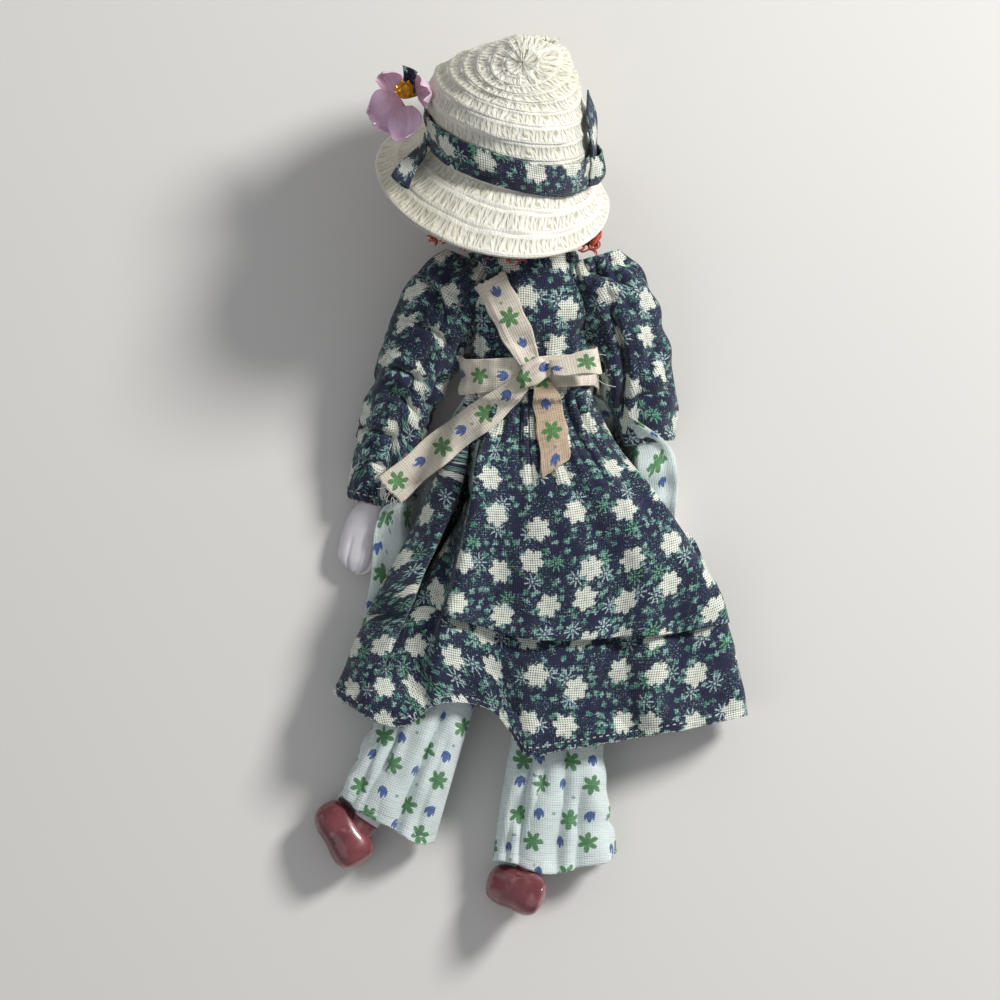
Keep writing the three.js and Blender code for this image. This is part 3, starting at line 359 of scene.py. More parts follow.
for kind, name in (("ADD", "add"), ("SUBTRACT", "sub"), ("MULTIPLY", "mul"), ("DIVIDE", "truediv"),
                   ("POWER", "pow"), ("FLOORED_MODULO", "mod"), ("MAXIMUM", "or")):
    setattr(Value, f"__{name}__", operator(kind))
    setattr(Value, f"__r{name}__", operator(kind, True))
Value.__abs__ = operator("ABSOLUTE")
sine, cosine = operator("SINE"), operator("COSINE")


class Shader:
    """A material whose nodes are made by short calls."""

    def __init__(self, name, **values):
        self.material = bpy.data.materials.new(name)
        self.material.use_nodes = True
        self.tree = self.material.node_tree
        self.main = self.tree.nodes["Principled BSDF"]
        for key, value in values.items():
            self.main.inputs[key.replace("_", " ")].default_value = value

    def put(self, socket, value):
        if isinstance(value, Value):
            self.tree.links.new(value.socket, socket)
        else:
            socket.default_value = value

    def node(self, kind, inputs, out=0, **settings):
        node = self.tree.nodes.new("ShaderNode" + kind)
        for key, value in settings.items():
            setattr(node, key, value)
        for key, value in inputs.items():
            self.put(node.inputs[key], value)
        return Value(self, node.outputs[out])

    def math(self, operation, a, b=0.0, c=0.0):
        return self.node("Math", {0: a, 1: b, 2: c}, operation=operation)

    def vector(self, operation, a, b=(0, 0, 0), out=0):
        return self.node("VectorMath", {0: a, 1: b}, out=out, operation=operation)

    def length(self, vector):
        return self.vector("LENGTH", vector, out=1)

    def scaled(self, a, factor):
        return self.node("VectorMath", {0: a, "Scale": factor}, operation="SCALE")

    def step(self, value, low, high):
        return self.node(
            "MapRange", {"Value": value, "From Min": low, "From Max": high},
            interpolation_type="SMOOTHSTEP",
        )

    def mix(self, factor, a, b):
        return self.node("Mix", {0: factor, 6: a, 7: b}, out=2, data_type="RGBA")

    def place(self):
        """Place in metres in the piece's own frame."""
        return self.node("TexCoord", {}, out=3)

    def uv(self, layer="UVMap"):
        return self.node("UVMap", {}, uv_map=layer)

    def split(self, vector):
        node = self.tree.nodes.new("ShaderNodeSeparateXYZ")
        self.put(node.inputs[0], vector)
        return [Value(self, out) for out in node.outputs]

    def join(self, x, y, z=0.0):
        return self.node("CombineXYZ", {0: x, 1: y, 2: z})

    def noise(self, vector, scale, detail=2.0):
        return self.node("TexNoise", {"Vector": vector, "Scale": scale, "Detail": detail})

    def bump(self, height, distance, strength=1.0):
        return self.node(
            "Bump", {"Height": height, "Distance": distance * MM, "Strength": strength}
        )

    def finish(self, colour=None, rough=None, normal=None):
        if colour is not None:
            self.put(self.main.inputs["Base Color"], colour)
        if rough is not None:
            self.put(self.main.inputs["Roughness"], rough)
        if normal is not None:
            self.put(self.main.inputs["Normal"], normal)
        return self.material


THREAD_MM = 0.48


def weave(s, uv):
    """Height of a plain weave with wandering threads, and the threads' uneven tone."""
    u, v, _ = s.split(uv)
    wander = s.noise(uv, 0.35, 1.0) * 2.0
    rate = math.pi / THREAD_MM
    warp = sine(u * rate + wander)
    weft = sine(v * rate + wander)
    height = abs(warp) + abs(weft)
    threads = s.noise(s.join(u * 0.2, v), 2.1, 0.0)
    return height * 0.5, threads


def petals(s, place, radius, lobes, depth, ragged, turn=0.0, edge=0.22):
    """Mask of a blossom with rounded lobes about the middle of a local place."""
    x, y, _ = s.split(place)
    angle = s.math("ARCTAN2", y, x) + turn
    lobe = abs(cosine(angle * (lobes / 2)))
    reach = lobe * (radius * depth) + radius * (1 - depth)
    length = s.length(place)
    short = length + ragged - reach
    return s.step(short, edge, -edge)


def rays(s, place, count, reach, width, turn=0.0):
    """Mask of thin rays out of the middle of a local place."""
    x, y, _ = s.split(place)
    angle = s.math("ARCTAN2", y, x) + turn
    length = s.length(place)
    off = abs(sine(angle * (count / 2))) * length
    thin = s.step(off, width * count / 2 * 1.4, width * count / 2 * 0.6)
    inside = s.step(length, reach, reach * 0.85)
    hollow = s.step(length, 0.45, 0.75)
    ray = thin * inside * hollow
    return ray | s.step(length, 0.42, 0.2)


def scattered(s, uv, cell, randomness, shift=0.0):
    """Places of a scattered print: the place inside each cell, and the cell's own random colour."""
    moved = s.vector("ADD", uv, (shift, shift * 0.7, 0))
    node = s.tree.nodes.new("ShaderNodeTexVoronoi")
    node.voronoi_dimensions = "2D"
    s.put(node.inputs["Vector"], moved)
    node.inputs["Scale"].default_value = 1 / cell
    node.inputs["Randomness"].default_value = randomness
    place, chance = (Value(s, node.outputs[key]) for key in ("Position", "Color"))
    return s.vector("SUBTRACT", moved, place), chance


def stitched(s, colour, height, hem, thread, seam_depth=0.8):
    """Adds a turned hem and a row of stitches at a distance from the cloth's end."""
    distance, along, _ = s.split(s.uv("Rim"))
    dash = s.step(sine(along * (math.tau / 1.3)), -0.1, 0.4)
    near = abs(distance - hem)
    line = s.step(near, 0.17, 0.06) * dash
    raw = s.step(distance, 0.34, 0.1) * s.step(
        s.noise(s.join(along, distance), 1.1, 2.0), 0.42, 0.6,
    )
    line = line * 0.8 | raw * 0.7
    groove = s.step(near, 0.45, 0.1)
    colour = s.mix(line, colour, thread)
    height = height - groove * seam_depth
    return colour, line * seam_depth + height


def calico(name, hem=None):
    """Navy cotton with cream blossoms, thin pale sprigs and mint specks."""
    s = Shader(name, Roughness=0.92, Sheen_Weight=0.18, Sheen_Roughness=0.5)
    uv = s.uv()
    height, threads = weave(s, uv)
    fray = s.noise(uv, 1.7, 4.0)
    ragged = fray * 1.9 + -0.95
    bold = s.noise(uv, 0.045, 1.0)
    base = s.mix(threads, rgb(13, 16, 38), rgb(36, 39, 82))
    base = s.mix(s.step(bold, 0.35, 0.7), base, s.mix(threads, rgb(16, 20, 42), rgb(40, 40, 78)))
    blossom_at, chance = scattered(s, uv, 8.8, 0.42)
    turn = s.split(chance)[0] * 6.0
    blossom = petals(s, blossom_at, 2.45, 6, 0.33, ragged, turn)
    halo = s.step(s.length(blossom_at), 4.3, 2.2)
    centre = s.step(s.length(blossom_at), 0.7, 0.3)
    sprig_at, pick = scattered(s, uv, 5.3, 0.75, 3.9)
    pick_r, pick_g, _ = s.split(pick)
    sprig = rays(s, sprig_at, 8, 1.85, 0.14, pick_g * 6.0)
    sprig = sprig * s.step(pick_r, 0.42, 0.46)
    leaf_at, leaf_pick = scattered(s, uv, 1.9, 0.95, 1.3)
    leaf_r, leaf_g, _ = s.split(leaf_pick)
    leaf = petals(s, leaf_at, 0.66, 4, 0.5, ragged, leaf_r * 6.0, 0.15)
    leaf = leaf * s.step(leaf_g, 0.34, 0.42)
    speck = s.step(s.noise(uv, 2.9, 4.0), 0.55, 0.63)
    patch = s.step(s.noise(uv, 0.26, 1.0), 0.42, 0.58) | halo
    speck = speck * patch
    tint = s.noise(uv, 0.8, 1.0)
    pale = s.mix(s.step(tint, 0.4, 0.6), rgb(78, 144, 120), rgb(160, 198, 190))
    colour = s.mix(speck * 0.85, base, pale)
    colour = s.mix(leaf * 0.85, colour, pale)
    colour = s.mix(
        sprig * 0.95, colour,
        s.mix(s.step(pick_g, 0.5, 0.6), rgb(178, 202, 204), rgb(104, 170, 132)),
    )
    cream = s.mix(threads, rgb(212, 220, 206), rgb(246, 248, 236))
    colour = s.mix(blossom, colour, cream)
    colour = s.mix(centre * 0.4, colour, rgb(196, 186, 160))
    gaps = s.step(height, 0.62, 0.28)
    colour = s.mix(gaps * 0.9, colour, rgb(18, 22, 44))
    if hem is not None:
        colour, height = stitched(s, colour, height, hem, rgb(222, 224, 214))
    return s.finish(colour, normal=s.bump(height, 0.16, 0.7))


def sprig_print(name, ground, shade, gap_tone, hem=None, strip=False):
    """Pale cotton with small green blossoms and blue tulips, set alternately."""
    s = Shader(name, Roughness=0.9, Sheen_Weight=0.15, Sheen_Roughness=0.5)
    uv = s.uv()
    height, threads = weave(s, uv)
    cell = 5.4 if strip else 6.0
    if strip:
        index = s.join(0.0, s.math("FLOOR", s.split(uv)[1] / cell))
    else:
        index = s.vector("FLOOR", s.scaled(uv, 1 / cell))
    chance = s.node("TexWhiteNoise", {"Vector": index}, out=1, noise_dimensions="2D")
    jitter = s.scaled(s.vector("SUBTRACT", chance, (0.5, 0.5, 0.5)), 0.8 if strip else 2.2)
    start = s.scaled(index, cell)
    middle = s.vector(
        "ADD", s.vector("ADD", start, (0.0 if strip else cell / 2, cell / 2, 0)), jitter,
    )
    place = s.vector("MULTIPLY", s.vector("SUBTRACT", uv, middle), (1, 1, 0))
    i, j, _ = s.split(index)
    odd = (i + j) % 2.0
    ragged = s.noise(uv, 2.2, 2.0) * 0.7 + -0.35
    turn = s.split(chance)[2] * 6.0
    flower = petals(s, place, 2.1, 6, 0.6, ragged, turn, 0.16) * (1.0 - odd)
    x, y, _ = s.split(place)
    cup = abs(x)**2.0 + abs(y / 1.25)**2.0
    tips = abs(cosine(x * 3.0)) * 1.1 + 0.15
    tulip = s.step(cup + ragged, 1.1, 0.85) * s.step(tips - y, -0.12, 0.12)
    tulip = tulip * odd
    dot_at, dot_pick = scattered(s, uv, 4.4, 0.6, 2.2)
    dots = s.step(s.length(dot_at), 0.42, 0.25)
    dots = dots * s.step(s.split(dot_pick)[0], 0.5, 0.55)
    colour = s.mix(threads, shade, ground)
    colour = s.mix(dots * 0.6, colour, rgb(74, 108, 120))
    green = s.mix(threads, rgb(28, 92, 44), rgb(84, 158, 84))
    blue = s.mix(threads, rgb(26, 54, 118), rgb(66, 110, 184))
    colour = s.mix(flower * 0.92, colour, green)
    colour = s.mix(tulip * 0.92, colour, blue)
    gaps = s.step(height, 0.48, 0.14)
    colour = s.mix(gaps * 0.55, colour, gap_tone)
    if hem is not None:
        colour, height = stitched(s, colour, height, hem, rgb(236, 240, 236), 0.6)
    return s.finish(colour, normal=s.bump(height, 0.14, 0.6))


def straw_braid(name, pitch, row):
    """Sewn straw plait: slanting strands between two raised edges."""
    s = Shader(name, Roughness=0.62, Sheen_Weight=0.08)
    uv = s.uv()
    u, v, _ = s.split(uv)
    wander = s.noise(uv, 0.5, 2.0)
    f = wander * 0.16 + v / row
    loose = s.noise(s.join(u, v * 0.4), 0.55, 2.0)
    phase = loose * 2.2 + u / pitch
    lean = (s.noise(s.join(u, 0.0), 0.13, 1.0) - 0.5) * 5.0
    phase = f * lean + phase
    rib = s.step(abs(sine(phase * math.pi)), 0.15, 1.0)
    slant = f * 2.4 + phase * 1.6
    cross = s.step(abs(sine(slant * math.pi)), 0.3, 1.0)
    edge = s.step(f, 0.34, 0.22) | s.step(f, 0.8, 0.92)
    ply = abs(sine((slant + f) * math.pi))
    tuft = s.noise(uv, 1.1, 3.0)
    body = (rib | cross * 0.8) * (tuft + 0.25)
    height = body * 0.85 | edge * (ply * 0.25 + 0.7)
    fibre = s.noise(s.join(u * 1.5, v), 3.2, 3.0)
    # pale is the straw on the raised strands; deep is painted shade, laid where the plait sinks
    # between strands
    pale = s.mix(fibre, rgb(222, 220, 208), rgb(246, 245, 238))
    deep = s.mix(fibre, rgb(168, 161, 134), rgb(216, 211, 190))
    colour = s.mix(s.step(height, 0.08, 0.62), deep, pale)
    place = s.place()
    stain_and_left_shade = s.step(s.noise(place, 55.0, 2.0), 0.45, 0.75)
    # Random stains, and a tan tone that grows towards -x: partly yellowing, partly painted shade on
    # the side away from the key light
    left_shade_and_yellowing = s.step(s.split(place)[0], -0.004, -0.026)
    stain_and_left_shade = stain_and_left_shade * 0.3 | left_shade_and_yellowing * 0.4
    colour = s.mix(stain_and_left_shade, colour, rgb(196, 187, 156))
    rough = fibre * -0.3 + 0.72
    return s.finish(colour, rough, s.bump(height, 0.24, 0.9))


def plain_cotton(name, light, dark):
    s = Shader(name, Roughness=0.95, Sheen_Weight=0.1)
    uv = s.uv()
    height, threads = weave(s, uv)
    colour = s.mix(threads, dark, light)
    colour = s.mix(s.step(height, 0.4, 0.1) * 0.3, colour, dark)
    return s.finish(colour, normal=s.bump(height, 0.14, 0.6))


def speckled_bisque(name):
    """Glazed porcelain with a faint uneven tone and fine specks."""
    s = Shader(name, Coat_Weight=0.35, Coat_Roughness=0.08)
    place = s.place()
    tone = s.step(s.noise(place, 160.0, 3.0), 0.3, 0.75)
    colour = s.mix(tone, rgb(232, 228, 232), rgb(212, 208, 216))
    dots = s.step(s.noise(place, 2600.0, 2.0), 0.68, 0.74)
    colour = s.mix(dots * 0.15, colour, rgb(120, 104, 100))
    gloss = s.noise(place, 700.0, 2.0) * 0.08 + 0.34
    return s.finish(colour, gloss, s.bump(s.noise(place, 900.0, 2.0), 0.03, 0.5))


def painted_face(name):
    """Cool white bisque with painted eyes, brows, cheeks and lips, by place on the head."""
    s = Shader(name, Coat_Weight=0.2, Coat_Roughness=0.15)
    uv = s.uv()
    u, v, _ = s.split(uv)
    side = abs(u)

    def spot(x, y, wide, high, soft=0.12, mirrored=True):
        place = s.join(((side if mirrored else u) - x) / wide, (v - y) / high)
        return s.step(s.length(place), 1 + soft, 1 - soft)

    skin = s.mix(s.noise(uv, 0.4, 2.0), rgb(238, 226, 222), rgb(246, 238, 234))
    blush = spot(5.0, -3.4, 2.6, 2.2, 0.95)
    colour = s.mix(blush * 0.55, skin, rgb(226, 130, 122))
    colour = s.mix(spot(3.6, 1.1, 1.55, 1.05), colour, rgb(248, 248, 246))
    colour = s.mix(spot(3.6, 1.1, 0.92, 0.98), colour, rgb(62, 96, 128))
    colour = s.mix(spot(3.6, 1.1, 0.42, 0.45), colour, rgb(16, 14, 18))
    # A small white dot beside each pupil: painted highlight, a catch-light
    colour = s.mix(spot(3.25, 1.5, 0.2, 0.2), colour, rgb(252, 252, 252))
    ring = spot(3.6, 1.1, 1.72, 1.25) - spot(3.6, 0.86, 1.62, 1.15)
    colour = s.mix(ring | 0.0, colour, rgb(58, 34, 26))
    brow = spot(3.8, 2.9, 2.2, 1.0) - spot(3.8, 2.6, 2.3, 1.0)
    colour = s.mix((brow | 0.0) * 0.85, colour, rgb(150, 72, 42))
    colour = s.mix(spot(0.55, -5.15, 0.85, 0.42), colour, rgb(190, 66, 70))
    colour = s.mix(spot(0.0, -5.75, 1.0, 0.42), colour, rgb(196, 74, 78))
    colour = s.mix(spot(0.45, -2.9, 0.2, 0.14, 0.4), colour, rgb(200, 120, 110))
    gloss = s.noise(uv, 1.0, 2.0) * 0.1 + 0.28
    return s.finish(colour, gloss)


def curly_hair(name):
    s = Shader(name, Roughness=0.55, Sheen_Weight=0.3)
    uv = s.uv()
    u, v, _ = s.split(uv)
    strand = s.noise(s.join(u * 5.0, v * 0.6), 1.6, 3.0)
    colour = s.mix(s.step(strand, 0.3, 0.7), rgb(150, 44, 22), rgb(226, 92, 52))
    return s.finish(colour, normal=s.bump(strand, 0.2, 0.8))


def satin(name):
    """Stiffened lilac petals, pinker towards the middle, with faint veins."""
    s = Shader(
        name, Sheen_Weight=0.3, Coat_Weight=0.7, Coat_Roughness=0.16, Subsurface_Weight=0.2,
        Subsurface_Scale=0.001,
    )
    u, v, _ = s.split(s.uv())
    veins = s.noise(s.join(u * 2.6, v * 0.35), 1.3, 2.0)
    near = s.step(v, 5.0, 0.0)
    colour = s.mix(near, rgb(214, 178, 208), rgb(192, 140, 164))
    colour = s.mix(s.step(veins, 0.4, 0.8) * 0.5, colour, rgb(236, 214, 236))
    rough = veins * 0.15 + 0.3
    return s.finish(colour, rough, s.bump(veins, 0.12, 0.5))


def gilt(name):
    s = Shader(name, Metallic=0.85)
    place = s.place()
    wear = s.noise(place, 900.0, 3.0)
    colour = s.mix(s.step(wear, 0.35, 0.7), rgb(232, 178, 62), rgb(196, 134, 30))
    return s.finish(colour, wear * 0.25 + 0.22, s.bump(wear, 0.05, 0.5))


def thread(name, light, dark):
    s = Shader(name, Roughness=0.85)
    u, v, _ = s.split(s.uv())
    ply = sine(v * 16.0 + u * 9.0)
    colour = s.mix(s.step(ply, -0.8, 0.8), dark, light)
    return s.finish(colour, normal=s.bump(ply, 0.05, 0.6))


def pale_floor(name):
    s = Shader(name, Roughness=0.9)
    place = s.place()
    tone = s.noise(place, 6.0, 2.0)
    return s.finish(s.mix(tone, rgb(226, 224, 220), rgb(232, 230, 227)))


BRAID_PITCH = 1.15
BRAID_ROW = 3.5
navy = calico("navy_print")
navy_hemmed = calico("navy_print_hemmed", hem=1.5)
WHITE_TONES = (rgb(232, 242, 240), rgb(206, 220, 220), rgb(134, 150, 152))
white = sprig_print("white_print", *WHITE_TONES)
white_hemmed = sprig_print("white_print_hemmed", *WHITE_TONES, hem=1.6)
ribbon = sprig_print(
    "ribbon_print", rgb(238, 231, 216), rgb(212, 201, 184), rgb(132, 120, 112), strip=True,
)
tan_ribbon = sprig_print(
    "ribbon_print_tan", rgb(212, 192, 168), rgb(176, 152, 128), rgb(116, 94, 76), strip=True,
)
straw = straw_braid("straw_braid", BRAID_PITCH, BRAID_ROW)
bisque = speckled_bisque("bisque")
face_paint = painted_face("painted_face")
hair_fibre = curly_hair("hair_fibre")
petal_satin = satin("petal_satin")
gold = gilt("gilt")
muslin = plain_cotton("muslin", rgb(230, 222, 200), rgb(196, 184, 156))
white_thread = thread("white_thread", rgb(236, 234, 226), rgb(180, 176, 166))


def boot_glaze(name):
    """Maroon glaze in uneven tones, with rose patches at random places as painted highlights."""
    s = Shader(name, Coat_Weight=0.8, Coat_Roughness=0.1)
    place = s.place()
    tone = s.noise(place, 120.0, 3.0)
    colour = s.mix(s.step(tone, 0.35, 0.7), rgb(100, 44, 50), rgb(142, 72, 78))
    # Rose patches scattered by noise: painted highlight, standing in for the pink gleam on the
    # glossy boots
    colour = s.mix(
        s.step(s.noise(place, 420.0, 3.0), 0.55, 0.75) * 0.45, colour, rgb(196, 126, 132),
    )
    gloss = tone * 0.2 + 0.2
    return s.finish(colour, gloss, s.bump(s.noise(place, 500.0, 2.0), 0.05, 0.5))


boot_maroon = boot_glaze("boot_glaze")

floor = link_faces(
    "floor",
    np.array([[-900, -900, 0], [900, -900, 0], [900, 900, 0], [-900, 900, 0]]),
    [[0, 1, 2, 3]],
    pale_floor("pale_floor"),
    None,
    [np.array([[0, 0], [1, 0], [1, 1], [0, 1]])] * 2,
)

# Sizes shared with the part

GAP = 0.3
REST_GAP = 0.1
TORSO_X = -2.1
TORSO_TOP = 42.2
TORSO_BOTTOM = -7.5
HIP_Z = 9.5
SHOULDER_Z = 13.4
PLATE_BOTTOM = 33
PLATE_CREST = 46
PLATE_WALL = 1
NECK_RADIUS = 4.2
HEAD = np.array([-6.2, 59.5, 21.0])
HEAD_SIZE = np.array([10.6, 12.4, 10.8])
CLOTH = 0.8
DRESS_WALL = 0.4
TRIM_WALL = 0.35
RIBBON_WALL = 0.3
SKIRT_TOP = 19.6
SASH_LOW, SASH_HIGH = 17.0, 25.2
SASH_WIDE, SASH_DEEP = 13.4, 8.4
SHOULDER_Y = 38.4
HIP_Y = -10.0
HIP_WIDE, HIP_DEEP = 10.6, 5.9
SKIRT_WAIST, APRON_WAIST = 12.4, 12.8
CLOTH_LOW = REST_GAP + 0.25
SEAT_ROOM = GAP + 0.6
APRON_FREE = 0.7
BODY_ROUND = 0.9


def spine_z(y):
    return mix(HIP_Z, SHOULDER_Z, smooth(y, 6, 43))


def body_size(y, which):
    high, waist, hip = ((9.2, 10.3, HIP_WIDE), (5.4, 5.4, HIP_DEEP))[which]
    return through([
        [TORSO_BOTTOM, hip * 0.5], [TORSO_BOTTOM + 3, hip * 0.9], [2, hip], [20.5, waist],
        [37, high], [TORSO_TOP - 1.5, high * 0.86], [TORSO_TOP, high * 0.55],
    ], y)


def plate_size(y, which):
    edge = body_size(np.minimum(y, TORSO_TOP - 1.5), which) + GAP + PLATE_WALL
    crest = through([[TORSO_TOP - 2, 1], [TORSO_TOP + 1, 0.8], [PLATE_CREST, 0]], y)
    return mix(NECK_RADIUS, edge, crest)


def neck_x(y):
    return mix(TORSO_X, HEAD[0], smooth(y, TORSO_TOP - 6, HEAD[1]))


def neck_z(y):
    return spine_z(y) + (HEAD[2] - SHOULDER_Z) * smooth(y, TORSO_TOP - 1, HEAD[1])


def turns(columns):
    return np.arange(columns) / columns * math.tau


def ring(x, y, z, wide, deep, turn):
    """The outline of the body or of a cloth round it."""
    across, up = power(np.cos(turn), BODY_ROUND), power(np.sin(turn), BODY_ROUND)
    return xyz(x + wide * across, y, z + deep * up)


def tube_turns(columns):
    """Turns that start below: the seam lies underneath and the middle column on the back."""
    return (turns(columns) - math.pi / 2)[None, :]


def ball(lift, turn):
    """A unit ball as right, up and back, whose seam lies at the middle of the face."""
    level = np.cos(lift)
    return level * np.sin(turn), np.sin(lift) * np.ones_like(turn), level * -np.cos(turn)


def axis_frame(turn, tip):
    turn, tip = math.radians(turn), math.radians(tip)
    axis = np.array([math.sin(turn) * math.cos(tip), math.cos(turn) * math.cos(tip), math.sin(tip)])
    right = np.array([math.cos(turn), -math.sin(turn), 0.0])
    return right, axis, unit(np.cross(right, axis))


HEAD_RIGHT, HEAD_UP, HEAD_BACK = axis_frame(4, 24)


def on_head(right, up, back):
    right, up, back = (np.asarray(v, float)[..., None] for v in (right, up, back))
    return HEAD + right * HEAD_RIGHT + up * HEAD_UP + back * HEAD_BACK


# Stuffed cloth body, hidden under the clothes


def torso_piece():
    y = np.vstack([down(-4.6, 0, 8), down(1, 38, 40), down(38.5, TORSO_TOP, 10)])
    turn = tube_turns(64)
    size = [body_size(y, k) for k in (0, 1)]
    size[0][0], size[1][0] = 5.5, 3.0
    points = ring(TORSO_X, y, spine_z(y), *size, turn)
    points += normals(points, True) * -0.12 * (1 + ripple(3, y, turn * 8, 7.0))[..., None]
    piece = surface("torso_cloth", points, muslin, "doll_body", closed=True, capped=True)
    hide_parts("torso")


torso_piece()

# Porcelain shoulder plate, neck and head


def plate_piece():
    y = np.vstack([down(PLATE_BOTTOM, PLATE_CREST, 40), down(46.5, 52, 8)])
    turn = tube_turns(72)
    points = ring(neck_x(y), y, neck_z(y), plate_size(y, 0), plate_size(y, 1), turn)
    piece = surface("shoulder_plate", points, bisque, "doll_body", closed=True, wall=0.9)


def head_piece():
    lift = down(-math.pi / 2, math.pi / 2, 90)
    turn = turns(128)[None, :]
    x, y, z = ball(lift, turn)
    front = smooth(-z, 0.0, 0.5)
    right, up = x * HEAD_SIZE[0], y * HEAD_SIZE[1]
    right = right * (1 - 0.2 * smooth(-y, 0.25, 0.95) * front)
    back = z * HEAD_SIZE[2]
    side = np.abs(right)
    relief = (
        1.5 * bell(right, 0, 1.25) * bell(up, -1.9, 1.5)
        + 0.5 * bell(right, 0, 1.1) * bell(up, 0.6, 2.2)
        + 0.55 * bell(right, 0, 1.9) * bell(up, -5.1, 0.55)
        + 0.5 * bell(right, 0, 1.6) * bell(up, -6.0, 0.5)
        - 0.3 * bell(right, 0, 2.2) * bell(up, -5.55, 0.22)
        - 0.6 * bell(side, 3.6, 1.9) * bell(up, 1.1, 1.3)
        + 0.45 * bell(side, 3.6, 1.1) * bell(up, 1.1, 0.8)
        + 0.6 * bell(side, 5.0, 2.6) * bell(up, -3.8, 2.2)
        + 1.3 * bell(right, 0, 2.6) * bell(up, -9.3, 2.0)
    )
    points = on_head(right, up, back - relief * front)
    uv = joined(pair(np.where(z < 0.1, right, 60 + right), up))
    piece = surface("bisque_head", points, face_paint, "doll_body", closed=True, uv=uv, flip=True)
    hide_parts("shoulder_head")


plate_piece()
head_piece()

# Hair: a combed cap under the hat and loose short curls round the nape and face


def hair_pieces():
    lift = down(-1.15, math.pi / 2, 60)
    turn = turns(110)[None, :]
    x, y, z = ball(lift, turn)
    low = smooth(-y, 0.3, 0.8)
    bare = smooth(-z, mix(0.25, -0.45, low), mix(0.7, 0.1, low)) * smooth(-y, -0.55, -0.1)
    thick = 1.5 * (1 - bare) - (0.8 + 3.2 * low) * bare
    locks = 0.3 * np.sin(turn * 34 + 2.2 * np.sin(y * 5)) * (1 - bare)
    size = [HEAD_SIZE[k] + thick + locks for k in (0, 1, 2)]
    points = on_head(x * size[0], y * size[1], z * size[2])
    cap = surface("hair_cap", points, hair_fibre, "doll_body", closed=True, flip=True)
    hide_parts("hair")
    rng = np.random.default_rng(11)
    paths, sizes = [], []
    t = np.linspace(0, 1, 30)
    for _ in range(190):
        angle = rng.uniform(-0.35, math.pi + 0.35)
        low = rng.uniform(-0.98, -0.3)
        shell = math.sqrt(max(0.08, 1 - low * low))
        right = math.cos(angle) * (HEAD_SIZE[0] + 1.4) * mix(shell, 1, 0.55)
        back = math.sin(angle) * (HEAD_SIZE[2] + 0.4) * mix(shell, 1, 0.5)
        length = rng.uniform(2.0, 4.2)
        coil = rng.uniform(0.45, 0.85)
        phase = rng.uniform(0, math.tau)
        spin = math.tau * rng.uniform(1.5, 2.6)
        ends = on_head(
            right + coil * np.cos(phase + spin * t) + math.cos(angle) * t * 0.7,
            low * HEAD_SIZE[1] - length * t + 0.5,
            back + coil * np.sin(phase + spin * t) + math.sin(angle) * t * 0.5,
        )
        paths.append(ends)
        sizes.append(rng.uniform(0.22, 0.36) * (1 - 0.45 * t))
    for end in (-13.4, 17.2):
        for _ in range(34):
            right = end + rng.uniform(-2.6, 1.2) * np.sign(end)
            phase, spin = rng.uniform(0, math.tau), math.tau * rng.uniform(1.4, 2.4)
            coil = rng.uniform(0.5, 0.95)
            top = rng.uniform(-9.2, -6.0)
            depth = rng.uniform(-0.5, 5.0)
            ends = on_head(
                right + coil * np.cos(phase + spin * t),
                top - rng.uniform(2.5, 5.5) * t,
                depth + coil * np.sin(phase + spin * t),
            )
            paths.append(ends)
            sizes.append(rng.uniform(0.24, 0.38) * (1 - 0.4 * t))
    for _ in range(60):
        right = rng.uniform(-8.2, 8.2)
        phase, spin = rng.uniform(0, math.tau), math.tau * rng.uniform(1.0, 1.8)
        shell = math.sqrt(max(0.1, 1 - (right / 11.5) ** 2 - 0.36))
        ends = on_head(
            right + 0.5 * np.cos(phase + spin * t),
            7.4 - rng.uniform(1.8, 3.4) * t,
            -HEAD_SIZE[2] * shell - 0.4 + 0.45 * np.sin(phase + spin * t) - 1.2 * t,
        )
        paths.append(ends)
        sizes.append(rng.uniform(0.22, 0.34) * (1 - 0.45 * t))
    curls = tubes("hair_curls", paths, sizes, hair_fibre, "doll_body")


hair_pieces()

# Straw hat: rows of sewn plait, each lapped over the next, on a leaning domed crown and a brim

HAT_RIGHT, HAT_UP, HAT_BACK = axis_frame(15, 24)
CROWN_RADIUS = 15.9
CROWN_HEIGHT = 28.1
BRIM = {"width": 7.7, "drop": 6.2, "tilt": 10, "shift": -2.0}
HAT_WALL = 1.1
INNER_ROWS = 60
BAND_WIDTH = 7.0


def rounded_curve(points, samples=60):
    """A centripetal curve through points, as a list of its points."""
    p = np.array(points, float)
    p = np.vstack([2 * p[0] - p[1], p, 2 * p[-1] - p[-2]])
    t = np.linspace(0, 1, samples, endpoint=False)[:, None]
    rows = []
    for a, b, c, d in zip(p, p[1:], p[2:], p[3:]):
        ab, bc, cd = (math.sqrt(np.linalg.norm(q - o)) for o, q in ((a, b), (b, c), (c, d)))
        first = ((b - a) / ab - (c - a) / (ab + bc) + (c - b) / bc) * bc
        second = ((c - b) / bc - (d - b) / (bc + cd) + (d - c) / cd) * bc
        rows.append(b + first * t + (-3 * b + 3 * c - 2 * first - second) * t**2
                    + (2 * b - 2 * c + first + second) * t**3)
    return np.vstack([*rows, p[-2:-1]])


